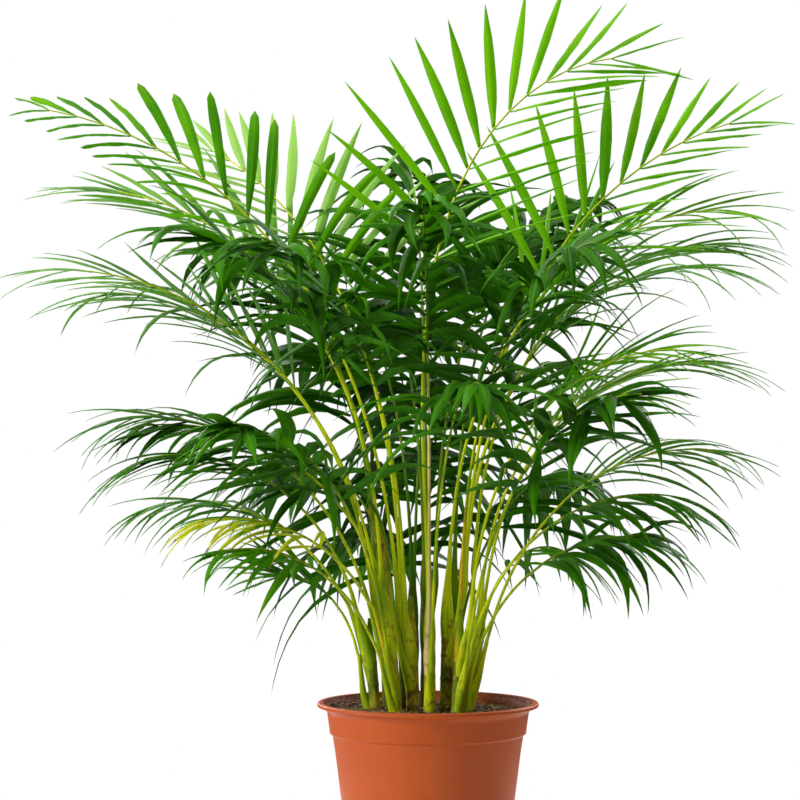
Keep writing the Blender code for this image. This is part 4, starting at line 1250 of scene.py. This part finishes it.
FROND_LOOKS = {
    1: UPRIGHT | {"age": 0.14, "level": (0.0, 0.9), "reach": 1.06, "broad": 0.88, "point": 0.0},
    2: UPRIGHT | {"age": 0.16, "level": (0.0, 0.9), "taper": 0.2, "broad": 0.90, "point": 0.0},
    3: UPRIGHT | {"age": 0.34, "level": (0.9, 0.0), "taper": 0.45, "limp": 0.30, "point": -0.9},
    4: UPRIGHT | {"age": 0.05, "pale": 0.5, "level": (0.8, 0.0), "limp": 0.14, "point": 0.2},
    5: SWEPT | {"age": 0.30, "grey": 0.55, "level": (0.7, 0.2), "broad": 0.85},
    6: SWEPT | {"age": 0.35, "grey": 0.65, "level": (0.6, 0.3), "reach": 1.05},
    7: SWEPT | {"age": 0.35, "grey": 0.60, "level": (0.6, 0.3), "reach": 1.05},
    8: TRAILING | {"age": 0.60, "grey": 0.25},
    9: TRAILING | {"age": 0.70},
    10: TRAILING | {"age": 0.62, "grey": 0.20},
    11: {"age": 0.05, "dead": 0.75, "limp": 0.85, "ruffle": 12.0, "broad": 1.0, "amber": 0.6},
    12: {"age": 0.65, "limp": 0.10, "reach": 1.5, "broad": 1.2, "sweep": 0.5, "ruffle": 14.0},
    13: SWEPT | {"age": 0.25, "level": (0.2, 0.7), "sweep": 0.25},
    14: SWEPT | {"age": 0.30, "grey": 0.35, "limp": 0.35, "level": (0.2, 0.6)},
    15: SWEPT | {"age": 0.45, "grey": 0.30, "limp": 0.40, "level": (0.2, 0.6)},
    16: SWEPT | {"age": 0.20, "grey": 0.70, "limp": 0.40, "ruffle": 10.0, "broad": 0.55},
    17: SWEPT | {"age": 0.15, "limp": 0.35, "broad": 0.60, "reach": 1.0},
    18: INNER,
    19: SWEPT | {"age": 0.25, "grey": 0.40, "limp": 0.50, "broad": 0.60, "ruffle": 12.0},
    20: SWEPT | {"age": 0.0, "pale": 0.40, "limp": 0.25, "broad": 0.65},
    21: TRAILING | {"age": 0.55, "broad": 0.80},
    22: TRAILING | {"age": 0.60, "amber": 0.4, "sweep": 0.1, "limp": 0.9},
    23: INNER | {"cream": 0.75, "ruffle": 32.0, "broken": 0.3},
    24: INNER | {"amber": 0.9},
    29: INNER | {"reach": 1.0},
    31: INNER | {"reach": 0.85, "broad": 0.85, "age": 0.5},
}
FROND_LOOKS |= {number: HANGING for number in range(33, 45)}
FROND_LOOKS |= {number: HANGING | {"reach": 1.55, "limp": 1.7} for number in (38, 41, 42)}

frond_nodes = sorted(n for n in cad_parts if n.startswith("frond_"))
palm_frond = frond_tree()
blank = blank_leaflet()
stalk_finish, blade_finish = stalk_skin(), blade_skin()
leaf_dice = np.random.default_rng(LEAF_SEED)
for frond_number, frond_node in enumerate(frond_nodes, 1):
    look = PLAIN | FROND_LOOKS.get(frond_number, INNER if frond_number > 22 else {})
    plan = plan_mesh(frond_node, *read_frond(frond_node), look, leaf_dice)
    inputs = {
        "Sides": STALK_SIDES,
        "Steps": STALK_STEPS,
        "Leaflet blank": blank,
        "Stalk material": stalk_finish,
        "Blade material": blade_finish,
    }
    source = grown(link_object(frond_node + "_plan", plan), palm_frond, inputs)
    piece = settled(frond_node + "_leaf", source)
    piece.data.materials.pop(index=0)  # the plan's own empty slot
    keep_piece(piece, frond_node)
bpy.data.objects.remove(blank)


# The stage
# A plain pale round table under the pot, a white surround, and soft lights: a key from the left
# and front, a faint fill from the right, two from behind and one from above.

CAMERA_LENS = 125.1
CAMERA_PLACE = (-0.024, -2.386, 0.429)
TABLE_RADIUS = 0.52
SURROUND_LIGHT = 0.19
CROWN = (0, 0, 0.42)  # where every light points
LIGHTS = [  # name, place, power and size
    ("key", (-2.2, -1.05, 1.05), 56, 0.8),
    ("fill", (1.6, -1.9, 0.9), 3, 0.8),
    ("back_left", (-1.1, 1.7, 1.3), 44, 1.2),
    ("back_right", (1.3, 1.5, 1.5), 44, 1.2),
    ("top", (-0.2, -0.1, 2.3), 36, 1.0),
]


def soft_light(name, place, power, size):
    """A square area light that points at the crown."""
    lamp = bpy.data.lights.new(name, "AREA")
    lamp.energy = power
    lamp.size = size
    made = bpy.data.objects.new(name, lamp)
    made.location = place
    made.rotation_euler = (Vector(CROWN) - Vector(place)).to_track_quat("-Z", "Y").to_euler()
    bpy.context.scene.collection.objects.link(made)


pale_table, _, paint = start_material("pale_table")
paint.inputs["Base Color"].default_value = (0.86, 0.86, 0.86, 1)
paint.inputs["Roughness"].default_value = 0.8
table_outline = [(0, -0.012)] + arc((TABLE_RADIUS, -0.0062), 0.0058, -90, 90, 8) + [(0, -0.0004)]
table = link_object("table", turned("table", table_outline, 96), pale_table)

for light in LIGHTS:
    soft_light(*light)

# The surround looks white, and lights the plant less than a white room would.
surround = bpy.data.worlds.new("white_surround")
surround.use_nodes = True
sky = surround.node_tree
white = add_node(sky, "ShaderNodeBackground", {"Color": (1, 1, 1, 1), "Strength": 1.0})
dim = add_node(sky, "ShaderNodeBackground", {"Color": (1, 1, 1, 1), "Strength": SURROUND_LIGHT})
seen = add_node(sky, "ShaderNodeLightPath").outputs["Is Camera Ray"]
both = add_node(sky, "ShaderNodeMixShader", {0: seen, 1: dim.outputs[0], 2: white.outputs[0]})
sky.links.new(both.outputs[0], sky.nodes["World Output"].inputs["Surface"])
bpy.context.scene.world = surround
bpy.context.scene.view_settings.view_transform = "Standard"

camera_data = bpy.data.cameras.new("camera")
camera_data.lens = CAMERA_LENS
camera_data.sensor_width = 36.0
camera_data.clip_start = 0.05
camera = bpy.data.objects.new("camera", camera_data)
camera.location = CAMERA_PLACE
camera.rotation_euler = (math.radians(90), 0, 0)
bpy.context.scene.collection.objects.link(camera)
bpy.context.scene.camera = camera
